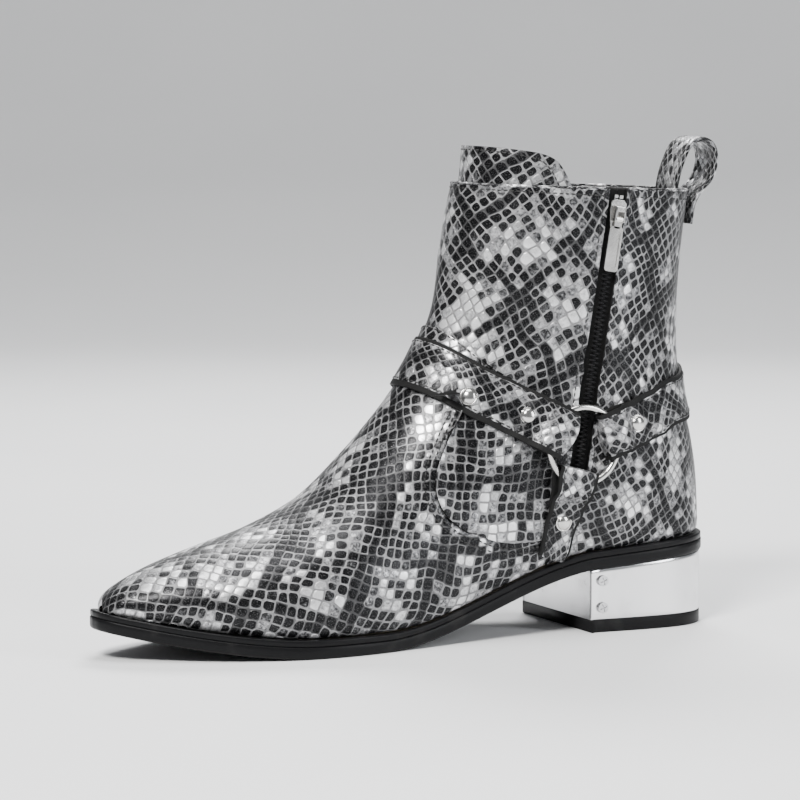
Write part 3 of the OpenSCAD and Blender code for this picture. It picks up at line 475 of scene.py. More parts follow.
def addGrid(bm, points, flat=None, material=0):
    # A grid of points in mm, [i][j]; flat is the leather's own map in mm
    ni, nj = points.shape[0] - 1, points.shape[1] - 1
    made = bmesh.ops.create_grid(bm, x_segments=ni, y_segments=nj, size=0.5)["verts"]
    layer = bm.loops.layers.uv.get("flat") or bm.loops.layers.uv.new("flat")
    places = {}
    for vert in made:
        i, j = round((vert.co.x + 0.5) * ni), round((vert.co.y + 0.5) * nj)
        vert.co = points[i, j] * mm
        places[vert] = (i, j)
    for face in {f for v in made for f in v.link_faces}:
        face.material_index = material
        for loop in face.loops:
            if flat is not None:
                loop[layer].uv = flat[places[loop.vert]]
    return made


def flatten(obj, guide):
    # Lays the panel's map out flat like cut leather, in mm, the ridge running up the map
    bpy.ops.object.select_all(action="DESELECT")
    bpy.context.view_layer.objects.active = obj
    obj.select_set(True)
    bpy.ops.object.mode_set(mode="EDIT")
    bpy.ops.mesh.select_all(action="SELECT")
    bpy.ops.uv.unwrap(method="MINIMUM_STRETCH", iterations=8, margin=0)
    bpy.ops.object.mode_set(mode="OBJECT")
    mesh = obj.data
    layer = mesh.uv_layers["flat"]
    flat = np.zeros(len(mesh.loops) * 2)
    layer.uv.foreach_get("vector", flat)
    flat = flat.reshape(-1, 2)
    corner = np.zeros(len(mesh.loops), int)
    mesh.loops.foreach_get("vertex_index", corner)
    aim = guide[corner]
    middle = flat.mean(0)
    turn, spread, other = np.linalg.svd((flat - middle).T @ (aim - aim.mean(0)))
    points = np.zeros(len(mesh.vertices) * 3)
    mesh.vertices.foreach_get("co", points)
    points = points.reshape(-1, 3)
    area = flatArea = 0
    for face in mesh.polygons:
        area += face.area
        loops = flat[list(face.loop_indices)]
        x, y = loops[:, 0], loops[:, 1]
        flatArea += abs(np.dot(x, np.roll(y, 1)) - np.dot(y, np.roll(x, 1))) / 2
    size = math.sqrt(area / flatArea) / mm
    flat = (flat - middle) @ (turn @ other) * size
    ridge = np.abs(aim[:, 0]) < 2
    if ridge.any():
        flat -= [flat[ridge, 0].mean(), 0]
    layer.uv.foreach_set("vector", flat.ravel())


def harden(obj, thickness, bevel, rim=1, even=True):
    solid = obj.modifiers.new("thickness", "SOLIDIFY")
    solid.thickness = thickness * mm
    solid.offset = -1
    solid.use_even_offset = even
    solid.material_offset_rim = rim
    if bevel:
        edge = obj.modifiers.new("edge", "BEVEL")
        edge.width = bevel * mm
        edge.segments = 2
        edge.limit_method = "ANGLE"
        edge.angle_limit = math.radians(50)


def lengths(points):
    # How far along a row of points each one lies
    return np.concatenate([[0], np.cumsum(np.linalg.norm(np.diff(points, axis=0), axis=1))])


def fill(left, right, low, high, s, t):
    # Blends four edges, in [u, w]: left and right run with s, low and high with t
    low, high = np.asarray(low, float), np.asarray(high, float)
    a, b = curve(left, s)[:, None], curve(right, s)[:, None]
    c, d = curve(low, t)[None], curve(high, t)[None]
    s, t = s[:, None, None], t[None, :, None]
    corner = (low[0] * (1 - t) + low[-1] * t) * (1 - s) + (high[0] * (1 - t) + high[-1] * t) * s
    return a * (1 - t) + b * t + c * (1 - s) + d * s - corner


def turnOutward(bm, inside):
    # Turns an open sheet's faces away from a point inside it
    bm.normal_update()
    outward = sum(f.normal.dot(f.calc_center_median() - inside) * f.calc_area() for f in bm.faces)
    if outward < 0:
        bmesh.ops.reverse_faces(bm, faces=bm.faces)


def leather(name, grids, materials, thickness, heights, bevel=0.3, even=True):
    # One or more [u, w] grids on the last, welded where they meet
    bm = bmesh.new()
    for grid, height in zip(grids, heights):
        points = onSkin(grid[..., 0], grid[..., 1], height)
        addGrid(bm, points, np.stack([grid[..., 1] * 100, grid[..., 0] * 12], -1))
    bmesh.ops.remove_doubles(bm, verts=bm.verts, dist=0.02 * mm)
    turnOutward(bm, Vector((0, 0, 0.09)))
    layer = bm.loops.layers.uv["flat"]
    bm.verts.index_update()
    guide = np.zeros((len(bm.verts), 2))
    for face in bm.faces:
        for loop in face.loops:
            guide[loop.vert.index] = loop[layer].uv
    obj = finishObject(name, bm, materials)
    flatten(obj, guide)
    harden(obj, thickness, bevel, even=even)
    return obj


def loft(name, sections, flat, materials, faceWidth=math.inf):
    # Closed tube through sections [i][k] of points in mm, capped at both ends
    # Faces whose map lies past faceWidth take the second material
    bm = bmesh.new()
    addGrid(bm, np.concatenate([sections, sections[:, :1]], 1), flat)
    layer = bm.loops.layers.uv["flat"]
    for face in bm.faces:
        if max(loop[layer].uv.x for loop in face.loops) > faceWidth:
            face.material_index = 1
    bmesh.ops.remove_doubles(bm, verts=bm.verts, dist=0.003 * mm)
    bmesh.ops.holes_fill(bm, edges=[e for e in bm.edges if e.is_boundary], sides=0)
    bmesh.ops.recalc_face_normals(bm, faces=bm.faces)
    return finishObject(name, bm, materials)


def frameAt(origin, forward, up):
    # Matrix with X along forward and Z near up, at a point in mm
    forward = Vector(forward).normalized()
    up = Vector(up)
    side = up.cross(forward).normalized()
    up = forward.cross(side)
    m = Matrix((forward, side, up)).transposed().to_4x4()
    m.translation = Vector(origin) * mm
    return m


stitch = {"pitch": 2.8, "length": 2.1, "radius": 0.36, "sink": 0.1}


def stitches(name, rows):
    # Rows of (points, normals): one small bead per stitch, lying along the row
    bm = bmesh.new()
    radius = stitch["radius"]
    size = Matrix.Diagonal((stitch["length"] / 2 * mm, radius * mm, radius * 0.8 * mm, 1))
    for points, normals in rows:
        run = lengths(points)

        def at(place, values):
            return np.stack([np.interp(place, run, values[:, k]) for k in range(3)], -1)

        count = max(2, int(run[-1] / stitch["pitch"]))
        places = (np.arange(count) + 0.5) * run[-1] / count
        ahead = at(places + 0.5, points) - at(places - 0.5, points)
        for p, d, n in zip(at(places, points), ahead, at(places, normals)):
            n = n / np.linalg.norm(n)
            m = frameAt(p - n * stitch["sink"], d, n) @ size @ Matrix.Rotation(math.pi / 2, 4, "Y")
            bmesh.ops.create_uvsphere(bm, u_segments=6, v_segments=5, radius=1, matrix=m)
    return finishObject(name, bm, [darkThread])


def seamRow(path, height, count=160):
    # Points and normals on the leather along a path of [u, w]
    p = curve(path, np.linspace(0, 1, count))
    return onSkin(p[:, 0], p[:, 1], height), skinNormal(p[:, 0], p[:, 1])


def sideways(path, distance, count=60):
    # The same [u, w] path moved sideways over the leather by a distance in mm
    p = curve(path, np.linspace(0, 1, count))
    here = skin(p[:, 0], p[:, 1])
    along = np.gradient(here, axis=0)
    across = np.cross(skinNormal(p[:, 0], p[:, 1]), along)
    across /= np.linalg.norm(across, axis=1, keepdims=True)
    step = 0.02
    du = (skin(p[:, 0] + step, p[:, 1]) - here) / step
    dw = (skin(p[:, 0], p[:, 1] + step) - here) / step
    a, b, c = (du * du).sum(1), (du * dw).sum(1), (dw * dw).sum(1)
    e, f = (across * du).sum(1), (across * dw).sum(1)
    det = a * c - b * b
    moved = np.stack([(e * c - f * b) / det, (f * a - e * b) / det], -1)
    return p + distance * moved


innerSide, outerSide = 1, -1
leatherT = 1.3
zipTop, zipLow = np.array([93.5, 203.5]), np.array([73, 76])
seamSide = [(18, 118), (20, 106), (11.4, 92), (3, 75), (5.5, 59.5), (23, 49), (54, 44.5)]
ridgeU = 9.4
backW = 0.996


def zipEdge(side, offset):
    path = []
    for k in np.linspace(0, 1, 17):
        p = zipLow * (1 - k) + zipTop * k
        path.append(findUw(p[0] + offset, p[1] + (2 if k == 1 else 0), side))
    path[-1][0] = topU
    return path


def seatPoint(y, rise, side):
    return findUw(y, float(seatZ(y)) + rise, side)


snakeVamp = snakeLeather("snakeVamp", 1.0, 1.0, 0.02)
snakeShaft = snakeLeather("snakeShaft", 1.0, 3.0, 0.0)
snakeQuarter = snakeLeather("snakeQuarter", 0.86, 5.0, -0.04)
snakeStrap = snakeLeather("snakeStrap", 0.8, 7.0, -0.02)
cut = cutEdge()
blackLining = liningLeather()
darkThread = thread("darkThread", (0.006, 0.006, 0.006), (0.03, 0.03, 0.03))
outerRubber = soleRubber("outerRubber", 0.34)
liftRubber = soleRubber("liftRubber", 0.42)
weltSkin = soleRubber("weltSkin", 0.30)
mirrorPlate = metal("mirrorPlate", (0.80, 0.80, 0.81), 0.10, (0.02, 0.02, 2.2), 0.02)
breastSteel = metal("breastSteel", (0.72, 0.72, 0.73), 0.16, (0.05, 1, 1.6), 0.03)
nickel = metal("nickel", (0.66, 0.65, 0.63), 0.14, (0.4, 0.4, 0.4), 0.03)
screwSteel = metal("screwSteel", (0.62, 0.62, 0.63), 0.2, (1, 1, 1), 0.03)
zipCloth = zipWeave()

# Vamp
def vampEdge(side):
    return [seatPoint(57, 1, side)] + uwPath(seamSide[::-1], side)


vampRear = vampEdge(innerSide) + [[ridgeU, 0]] + vampEdge(outerSide)[::-1]
vamp = {"rows": 90, "columns": 150, "lap": 0.2}
s = np.linspace(0, 1, vamp["rows"] + 1)
t = np.linspace(0, 1, vamp["columns"] + 1)
rear = curve(vampRear, t)
u = np.clip((rear[None, :, 0] + vamp["lap"]) * s[:, None] ** 0.85, 0, None)
ease = 1 - (1 - s[:, None]) ** 2
w = (1 - 2 * t)[None] * (1 - ease) + rear[None, :, 1] * ease
near = np.clip((u - rear[None, :, 0] + 0.12) / 0.14, 0, 1)
obj = leather("vampPanel", [np.stack([u, w], -1)], [snakeVamp, cut], leatherT - 0.3, [-0.55 * near])
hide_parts("vamp")
print("vamp done")

# Shaft: front panel carried round the outer side to the back, and the inner rear quarter
shaft = {"rows": 100, "front": 110, "rear": 60, "edgeGap": 4.6}
s = np.linspace(0, 1, shaft["rows"] + 1)
foot = [(54, 44.5), (57, 49.6), (60, 54.8), (63, 60)]
left = uwPath(foot + [(65.8, 67.5)], innerSide) + zipEdge(innerSide, -shaft["edgeGap"])
right = uwPath(foot + [(67, 67.5)], outerSide) + zipEdge(outerSide, 0)
low = uwPath(seamSide[::-1], innerSide) + [[ridgeU, 0]] + uwPath(seamSide, outerSide)
high = [[topU, left[-1][1]], [topU, 0], [topU, right[-1][1]]]
front = fill(left, right, low, high, s, np.linspace(0, 1, shaft["front"] + 1))
rise = 0.75 * np.exp(-(s / 0.055) ** 2)[:, None] * np.ones(shaft["front"] + 1)
rearEdges = {}
for side, gap in ((innerSide, shaft["edgeGap"]), (outerSide, 0)):
    bend = [(62, 48.5), (65, 57), (68, 62), (70 + gap * 0.5, 69)]
    a = [seatPoint(59, 1, side)] + uwPath(bend, side) + zipEdge(side, gap)
    b = [[k, side * backW] for k in (seatEndU + 0.6, 17.5, 19.5, topU)]
    columns = np.linspace(0, 1, shaft["rear"] + 1)
    rearEdges[side] = fill(a, b, [a[0], [12.5, side * backW], b[0]], [[topU, a[-1][1]], b[-1]], s, columns)
flatRise = np.zeros((shaft["rows"] + 1, shaft["rear"] + 1))
obj = leather("shaftFront", [front, rearEdges[outerSide]], [snakeShaft, cut], leatherT, [rise, flatRise])
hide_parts("front_panel", "rear_quarter_outer")
obj = leather("rearQuarterInner", [rearEdges[innerSide]], [snakeQuarter, cut], leatherT, [flatRise])
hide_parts("rear_quarter_inner")
print("shaft done")

# Tongue and lining
tongue = {"rows": 40, "columns": 50, "low": 15, "rise": 0.8, "height": -3.5}
tip = [[topU + tongue["rise"] * share, w] for share, w in (
    (0, 0.4), (0.72, 0.34), (0.95, 0.2), (1, 0), (0.95, -0.2), (0.72, -0.34), (0, -0.4))]
s = np.linspace(0, 1, tongue["rows"] + 1)[:, None, None]
t = np.linspace(0, 1, tongue["columns"] + 1)
foot = np.stack([np.full(len(t), tongue["low"]), 0.4 - 0.8 * t], -1)
grid = foot[None] * (1 - s) + curve(tip, t)[None] * s
height = np.full(grid.shape[:2], tongue["height"])
obj = leather("tonguePanel", [grid], [snakeShaft, cut, blackLining], leatherT, [height])
obj.modifiers["thickness"].material_offset = 2
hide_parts("tongue")

lining = {"rows": 70, "columns": 120, "height": -2.1}
u = np.linspace(1.4, topU - 0.03, lining["rows"] + 1)
reach = np.interp(u, [16, 18], [0.93, backW])
w = reach[:, None] * (1 - 2 * np.linspace(0, 1, lining["columns"] + 1))[None]
grid = np.stack([np.repeat(u[:, None], w.shape[1], 1), w], -1)
obj = leather("liningShell", [grid], [blackLining, cut], 1.0, [np.full(w.shape, lining["height"])], bevel=0.2)
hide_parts("lining")
print("tongue and lining done")

# Harness straps
ringC = np.array([73.5, 88.0])
ringUw = findUw(*ringC, innerSide)
ring = {"radius": 17.5, "wire": 3.0, "low": 2.9, "slack": 0.35}
ring["middle"] = ring["low"] + ring["wire"] / 2
ring["high"] = ring["low"] + ring["wire"]
strapT = 2.0
foldWall = 1.4
bothSides = (innerSide, outerSide)
ringFace = {side: abs(float(skin(ringUw[0], side * ringUw[1])[0] - bootShift[0])) for side in bothSides}
stepD = 16


def pointAlong(a, b):
    d = np.array(b, float) - np.array(a, float)
    return d / np.linalg.norm(d)


frontDir = pointAlong(ringC, (8.5, 123.1))
rearDir = pointAlong(ringC, (144, 110))
downDir = pointAlong(ringC, (62.3, 45))
downFoot = (62.3, float(seatZ(62.3)) + 3.5)
downReach = float(np.linalg.norm(downFoot - ringC))


def endLine(width):
    # Where a strap of this width meets the inside of the ring
    bore = ring["radius"] - ring["wire"] / 2
    return math.sqrt(bore**2 - width**2 / 4) - ring["slack"] - foldWall


def strapEdge(direction, width, edge, middle, front):
    e = np.array([-direction[1], direction[0]]) * (-edge if front else edge) * width / 2
    p = [findUw(*(ringC + direction * (endLine(width) + k * stepD) + e), innerSide) for k in range(4)]
    if front:
        return p + [[ridgeAt(middle + edge * width * 0.46), 0]] + [[u, -w] for u, w in p[::-1]]
    return p + [[backAt(middle + edge * width * 0.5), 1]] + [[u, 2 - w] for u, w in p[::-1]]


def downEdge(side, edge, width):
    end = endLine(width)
    e = np.array([downDir[1], -downDir[0]]) * edge * width / 2
    places = [ringC + downDir * (end + (downReach - end) * k) + e * (1 - 0.24 * k) for k in np.linspace(0, 1, 5)]
    return [findUw(y, z, side) for y, z in places]


# The folded end round the ring, from the far side of the fold to the tail tucked underneath:
# outer face (distance, height) and inner face (distance, height)
foldRows = np.array([
    [26, 2.1, 26, 0.1], [21, 3.5, 21, 1.6], [16.5, 3.8, 16, 1.75], [12, ring["high"] + 1.3, 12.6, ring["high"] + 0.2],
    [9.5, ring["high"] + 1.75, 9.5, ring["high"] + 0.35], [2.4, ring["high"] + 1.75, 2.6, ring["high"] + 0.35],
    [0.6, ring["high"] + 1, 1.5, ring["high"] - 0.2], [0, ring["middle"], 1.4, ring["middle"]], [0.3, 1.2, 1.55, 1.9],
    [1.4, 0.25, 2.1, 1.5], [3, 0.1, 3, 1.5], [10, 0.1, 10, 1.5], [20, 0.1, 20, 1.45]])
strapProfile = {"across": 14, "round": 5, "swell": 0.16, "pad": 0.25, "skirt": 1.6, "rise": 0.1}
foldReach = 26
farAway = 99


def bandAcross():
    # Places round a strap's section: (share across, share of thickness, 0 inner face to 1 outer face)
    across = np.linspace(0, 1, strapProfile["across"] + 1)[1:-1]
    turn = [math.pi * k / strapProfile["round"] for k in range(strapProfile["round"] + 1)]
    top = [(a, 1.0) for a in across]
    bottom = [(a, 0.0) for a in across[::-1]]
    right = [(1.0, 0.5 + 0.5 * math.cos(k)) for k in turn]
    left = [(0.0, 0.5 - 0.5 * math.cos(k)) for k in turn]
    bulge = ([0] * len(top) + [math.sin(k) for k in turn]) * 2
    return np.array(top + right + bottom + left), np.array(bulge)


def strapMap(places, width, run, step):
    # The outer face runs from 0 to width across the map, the edges and the inner face carry on beyond it
    face = strapProfile["across"] - 1
    beyond = width + 1 + np.arange(len(places) - face + 1) * step
    around = np.concatenate([places[:face, 0] * width, beyond])
    return np.stack(np.broadcast_arrays(around[None], run[:, None]), -1)


def strapPoints(across, edges, along, heights, distance, side):
    # Places on a strap: flat near the ring, lying on the leather further off
    p = curve(edges[0], along) * (1 - across[..., None]) + curve(edges[1], along) * across[..., None]
    ground = skin(p[..., 0], p[..., 1])
    lying = ground + skinNormal(p[..., 0], p[..., 1]) * heights[..., None]
    flat = ground.copy()
    flat[..., 0] = side * (ringFace[side] + heights) + bootShift[0]
    k = np.clip((24 - distance) / 9, 0, 1)[..., None]
    return lying * (1 - k) + flat * k


def sideOf(along, sides):
    return sides[0] if len(sides) == 1 or along < 0.5 else sides[1]


def strapSections(edges, width, runLength, sides):
    # Sections along a strap: folded round the ring at each end named in sides, lying on the boot between
    places, bulge = bandAcross()
    share = places[:, 1]
    fold = spline(foldRows, np.linspace(0, len(foldRows) - 1, 49))
    rows = [(f[0] / runLength, f[2] / runLength, f[1], f[3], f[0]) for f in fold[::-1]]
    both = len(sides) == 2
    near = foldReach / runLength
    for q in np.linspace(near, 1 - near if both else 1, 90)[1:-1]:
        rows.append((q, q, strapT + 0.1, 0.1, farAway))
    if both:
        rows += [(1 - f[0] / runLength, 1 - f[2] / runLength, f[1], f[3], f[0]) for f in fold]
    else:
        rows.append((1, 1, strapT + 0.1, 0.1, farAway))
    fromEdge = np.minimum(places[:, 0], 1 - places[:, 0]) * width
    pad = strapProfile["pad"] * np.exp(-(fromEdge / strapProfile["skirt"]) ** 2)
    outer = (strapProfile["rise"] - pad) * (share == 1)
    sections = []
    for outS, inS, outH, inH, distance in rows:
        along = inS * (1 - share) + outS * share
        height = inH * (1 - share) + outH * share + outer
        place = (edges, along, height, np.full(len(places), distance), sideOf(outS, sides))
        p = strapPoints(places[:, 0], *place)
        outwards = p - strapPoints(np.full(len(places), 0.5), *place)
        outwards /= np.maximum(1e-6, np.linalg.norm(outwards, axis=1, keepdims=True))
        sections.append(p + outwards * (bulge * abs(outH - inH) * strapProfile["swell"])[:, None])
    sections = np.array(sections)
    middle = (strapProfile["across"] - 1) // 2
    return sections, strapMap(places, width, lengths(sections[:, middle]), 1.3)


def makeStrap(name, edges, width, runLength, sides, node):
    sections, flat = strapSections(edges, width, runLength, sides)
    obj = loft(name, sections, flat, [snakeStrap, cut], width)
    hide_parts(node)
    # stitch lines along both edges of the outer face
    fold = spline(foldRows, np.linspace(2, 5.2, 12))
    both = len(sides) == 2
    places = [(f[0] / runLength, f[1], f[0]) for f in fold[::-1]]
    last = 1 - foldReach / runLength if both else 0.985
    places += [(q, strapT + 0.1, farAway) for q in np.linspace(22 / runLength, last, 60)]
    if both:
        places += [(1 - f[0] / runLength, f[1], f[0]) for f in fold]
    rows = []
    for share in (2.3 / width, 1 - 2.3 / width):
        points, normals = [], []
        for q, h, d in places:
            heights = np.array([h + 0.26, h + 1.26])
            place = (edges, np.full(2, q), heights, np.full(2, d), sideOf(q, sides))
            low, high = strapPoints(np.full(2, share), *place)
            points.append(low)
            normals.append(high - low)
        rows.append((np.array(points), np.array(normals)))
    stitches(name + "Stitch", rows)


width = {"front": 23.0, "rear": 21.5, "down": 19.0}
frontEdges = [strapEdge(frontDir, width["front"], edge, 125.2, True) for edge in (1, -1)]
rearStrapEdges = [strapEdge(rearDir, width["rear"], edge, 110, False) for edge in (-1, 1)]
makeStrap("frontStrap", frontEdges, width["front"], 8 * stepD, bothSides, "front_strap")
makeStrap("rearStrap", rearStrapEdges, width["rear"], 8 * stepD, bothSides, "rear_strap")
downRun = downReach - endLine(width["down"])
for name, side, node in (("downStrapInner", innerSide, "down_strap_inner"),
                         ("downStrapOuter", outerSide, "down_strap_outer")):
    edges = [downEdge(side, edge, width["down"]) for edge in (-side, side)]
    makeStrap(name, edges, width["down"], downRun, (side,), node)
print("straps done")

# Ankle band: its lower edge under the front strap
band = {"rows": 12, "columns": 70, "lift": 1.0}
frontEdge = curve(frontEdges[0], 0.5 + np.linspace(-3, 3, 60) * 0.093) + [0.06, 0]
bandSide = [(36, 121.5), (29, 128.5), (21, 136.5)]
upper = uwPath(bandSide, innerSide) + [[ridgeAt(141.5), 0]] + uwPath(bandSide[::-1], outerSide)
t = np.linspace(0, 1, band["columns"] + 1)
k = np.linspace(0, 1, band["rows"] + 1)[:, None, None]
grid = curve(frontEdge, t)[None] * (1 - k) + curve(upper, t)[None] * k
lift = np.full(grid.shape[:2], band["lift"])
obj = leather("ankleBand", [grid], [snakeShaft, cut], 0.95, [lift], bevel=0, even=False)
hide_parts("ankle_band")

# Seams sewn through the upper
sewn = []
for side in bothSides:
    path = uwPath(seamSide, side)[1:]
    for off in (2.4, 4.9):
        sewn.append(seamRow(sideways(path, -off * side, 80), 0.75 * math.exp(-(off / 5) ** 2) + 0.12))
for off in (-7.0, 7.0):
    sewn.append(seamRow(zipEdge(innerSide, off), 0.1))
topRow = topU - 0.16
topFront = np.stack([np.full(80, topRow), np.linspace(front[-1, 2, 1], -backW, 80)], -1)
topBack = np.stack([np.full(40, topRow), np.linspace(rearEdges[innerSide][-1, 2, 1], backW, 40)], -1)
sewn.append(seamRow(topFront, 0.1, 240))
sewn.append(seamRow(topBack, 0.1, 80))
sewn.append(seamRow(curve(upper, np.linspace(0, 1, 60)) - [0.09, 0], band["lift"] + 0.1))
tipRow = curve(tip, np.linspace(0.04, 0.96, 60)) * [1, 0.93] - [0.09, 0]
sewn.append(seamRow(tipRow, tongue["height"] + 0.1))
stitches("upperStitches", sewn)


def bead(name, path, look):
    # Folded bead along the shaft's top edge
    p = curve(path, np.linspace(0, 1, 200))
    centre = onSkin(p[:, 0], p[:, 1], look["height"])
    ahead = np.gradient(centre, axis=0)
    ahead /= np.linalg.norm(ahead, axis=1, keepdims=True)
    out = skinNormal(p[:, 0], p[:, 1])
    up = np.cross(ahead, out)
    angle = np.linspace(0, 2 * math.pi, look["sides"], endpoint=False)
    thick = look["across"] * np.cos(angle)[None, :, None] * out[:, None]
    tall = look["along"] * np.sin(angle)[None, :, None] * up[:, None]
    flat = np.stack(np.broadcast_arrays(lengths(centre)[:, None], (angle * 1.2)[None]), -1)
    flat = np.concatenate([flat, flat[:, :1] + [0, 7.5]], 1)
    return loft(name, centre[:, None] + thick + tall, flat, [snakeStrap])


beadLook = {"across": 0.85, "along": 0.75, "height": -0.62, "sides": 12}
for name, path in (("topBeadFront", topFront + [0.16, 0]), ("topBeadBack", topBack + [0.16, 0])):
    obj = bead(name, path, beadLook)
print("seams done")

# Rivets
rivet = {"radius": 4.0, "cap": 1.9}


def domeCap():
    # One rivet's domed cap, its flange on the strap
    one = bmesh.new()
    r, cap = rivet["radius"], rivet["cap"]
    outline = [(0, 0.05), (r - 0.1, 0.05), (r + 0.1, 0.2), (r + 0.1, 0.4), (r - 0.05, 0.52), (r - 0.45, 0.55),
               (r - 0.55, 0.48)]
    dome = np.linspace(0.0, math.pi / 2, 10)
    outline += [((r - 0.6) * math.cos(a), 0.5 + (cap - 0.3) * math.sin(a)) for a in dome]
    verts = [one.verts.new(Vector((x, 0, z)) * mm) for x, z in outline]
    geom = verts + [one.edges.new(pair) for pair in zip(verts, verts[1:])]
    bmesh.ops.spin(one, geom=geom, cent=(0, 0, 0), axis=(0, 0, 1), angle=2 * math.pi, steps=40, use_merge=True)
    bmesh.ops.remove_doubles(one, verts=one.verts, dist=0.03 * mm)
    return one


def strapUw(direction, d, side):
    return findUw(*(ringC + direction * d), side)


rivetPlaces = [
    (strapUw(frontDir, 29, innerSide), strapT + 1.2), ([strapUw(frontDir, 68, innerSide)[0], 0.36], strapT + 0.3),
    (strapUw(frontDir, 27, outerSide), strapT + 1.35), (strapUw(frontDir, 40, outerSide), strapT + 0.3),
    (strapUw(rearDir, 29.5, innerSide), strapT + 1.4), (strapUw(rearDir, 29.5, outerSide), strapT + 1.4),
    (strapUw(downDir, 36, innerSide), strapT + 0.6), (strapUw(downDir, 36, outerSide), strapT + 0.6)]
bm = bmesh.new()
for place, height in rivetPlaces:
    one = domeCap()
    u, w = np.array(place[0]), np.array(place[1])
    n = skinNormal(u, w)
    m = frameAt(onSkin(u, w, height), np.cross(n, [0, 0, 1]), n)
    bmesh.ops.transform(one, matrix=m, verts=one.verts)
    held = bpy.data.meshes.new("rivetCopy")
    one.to_mesh(held)
    one.free()
    bm.from_mesh(held)
    bpy.data.meshes.remove(held)
bmesh.ops.recalc_face_normals(bm, faces=bm.faces)
obj = finishObject("rivetCaps", bm, [nickel])
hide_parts("strap_rivets")
print("rivets done")

# Rings
for side, node, bodyName in ((1, "ring_inner", "inner_ring"), (-1, "ring_outer", "outer_ring")):
    bm = bmesh.new()
    wire = bmesh.ops.create_circle(bm, segments=20, radius=ring["wire"] / 2 * mm)["verts"]
    bmesh.ops.rotate(bm, cent=(0, 0, 0), matrix=Matrix.Rotation(math.pi / 2, 3, "X"), verts=wire)
    bmesh.ops.translate(bm, vec=(ring["radius"] * mm, 0, 0), verts=wire)
    geom = bm.verts[:] + bm.edges[:]
    bmesh.ops.spin(bm, geom=geom, cent=(0, 0, 0), axis=(0, 0, 1), angle=2 * math.pi, steps=96, use_merge=True)
    bmesh.ops.remove_doubles(bm, verts=bm.verts, dist=0.001 * mm)
    centre = (side * (ringFace[side] + ring["middle"]) + bootShift[0], ringC[0] + bootShift[1], ringC[1])
    turn = Matrix.Translation(Vector(centre) * mm) @ Matrix.Rotation(math.pi / 2, 4, "Y")
    bmesh.ops.transform(bm, matrix=turn, verts=bm.verts)
    bmesh.ops.recalc_face_normals(bm, faces=bm.faces)
    obj = finishObject("ring" + bodyName.split("_")[0].title(), bm, [nickel], bodyName)
    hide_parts(node)
print("rings done")

# Zip
zipA = zipLow.astype(float)
zipB = zipTop - [0, 2]
zipLen = float(np.linalg.norm(zipB - zipA))
zipTilt = math.atan2(zipB[0] - zipA[0], zipB[1] - zipA[1])
zipMid = findUw(*((zipA + zipB) / 2), innerSide)
zipX = float(skin(zipMid[0], zipMid[1])[0])
zipPlace = Matrix.Translation(Vector((zipX, zipA[0] + bootShift[1], zipA[1])) * mm)
zipFrame = zipPlace @ Matrix.Rotation(-zipTilt, 4, "X")
teeth = {"pitch": 2.2, "low": 2.5, "depth": -0.72, "side": 0.75, "size": (0.5, 1.75, 0.62)}
toothShape = Matrix.Diagonal((*(v * mm for v in teeth["size"]), 1)) @ Matrix.Rotation(math.pi / 2, 4, "X")
bm = bmesh.new()
for k in range(int((zipLen - 4) / teeth["pitch"])):
    for side in (-1, 1):
        z = teeth["low"] + k * teeth["pitch"] + (teeth["pitch"] / 2 if side > 0 else 0)
        at = Matrix.Translation(Vector((teeth["depth"], side * teeth["side"], z)) * mm)
        bmesh.ops.create_uvsphere(bm, u_segments=8, v_segments=6, radius=1, matrix=zipFrame @ at @ toothShape)
toothBlack = soleRubber("toothBlack", 0.28)
obj = finishObject("zipTeeth", bm, [toothBlack])
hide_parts("zip_teeth_front", "zip_teeth_rear")


def extruded(bm, outline, low, high, bevel):
    # Plate from an outline in (y, z), from low to high in x, all mm
    verts = [bm.verts.new(Vector((low, y, z)) * mm) for y, z in outline]
    made = bmesh.ops.extrude_face_region(bm, geom=[bm.faces.new(verts)])["geom"]
    top = [g for g in made if isinstance(g, bmesh.types.BMVert)]
    bmesh.ops.translate(bm, vec=((high - low) * mm, 0, 0), verts=top)
    edges = list({e for v in verts + top for e in v.link_edges})
    bmesh.ops.bevel(bm, geom=edges, offset=bevel * mm, offset_type="OFFSET", segments=2, profile=0.5,
                    affect="EDGES", clamp_overlap=True, material=-1)


def plate(y0, y1, z0, z1):
    return [(y0, z0), (y1, z0), (y1, z1), (y0, z1)]


slider = {"length": 13.0, "width": 8.0, "lug": 0.9, "lugIn": 1.75, "lugLow": -1.3, "lugHigh": 5.8}
sliderZ = zipLen - slider["length"] - 2.2
pivot = Vector((2.9, 0, sliderZ + 4))
half, long = slider["width"] / 2, slider["length"]
lugOut = slider["lugIn"] + slider["lug"]
bm = bmesh.new()
outline = [(-half * 0.72, 0), (half * 0.72, 0), (half, long * 0.6), (half, long - 1.4), (half - 1.4, long),
           (1.4 - half, long), (-half, long - 1.4), (-half, long * 0.6)]
extruded(bm, [(y, z + sliderZ) for y, z in outline], -0.15, 1.2, 0.3)
for y in (-lugOut, slider["lugIn"]):
    lug = plate(y, y + slider["lug"], pivot.z + slider["lugLow"], pivot.z + slider["lugHigh"])
    extruded(bm, lug, 1.1, 4.2, 0.25)
extruded(bm, plate(-lugOut, lugOut, pivot.z + 3.4, pivot.z + slider["lugHigh"]), 2.9, 4.2, 0.3)
pin = 0.7 * mm
m = Matrix.Translation(pivot * mm) @ Matrix.Rotation(math.pi / 2, 4, "X")
bmesh.ops.create_cone(bm, cap_ends=True, segments=20, radius1=pin, radius2=pin, depth=5 * mm, matrix=m)
bmesh.ops.transform(bm, matrix=zipFrame, verts=bm.verts)
bmesh.ops.recalc_face_normals(bm, faces=bm.faces)
obj = finishObject("zipSlider", bm, [nickel], "slider", smooth=False)
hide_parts("zip_slider")

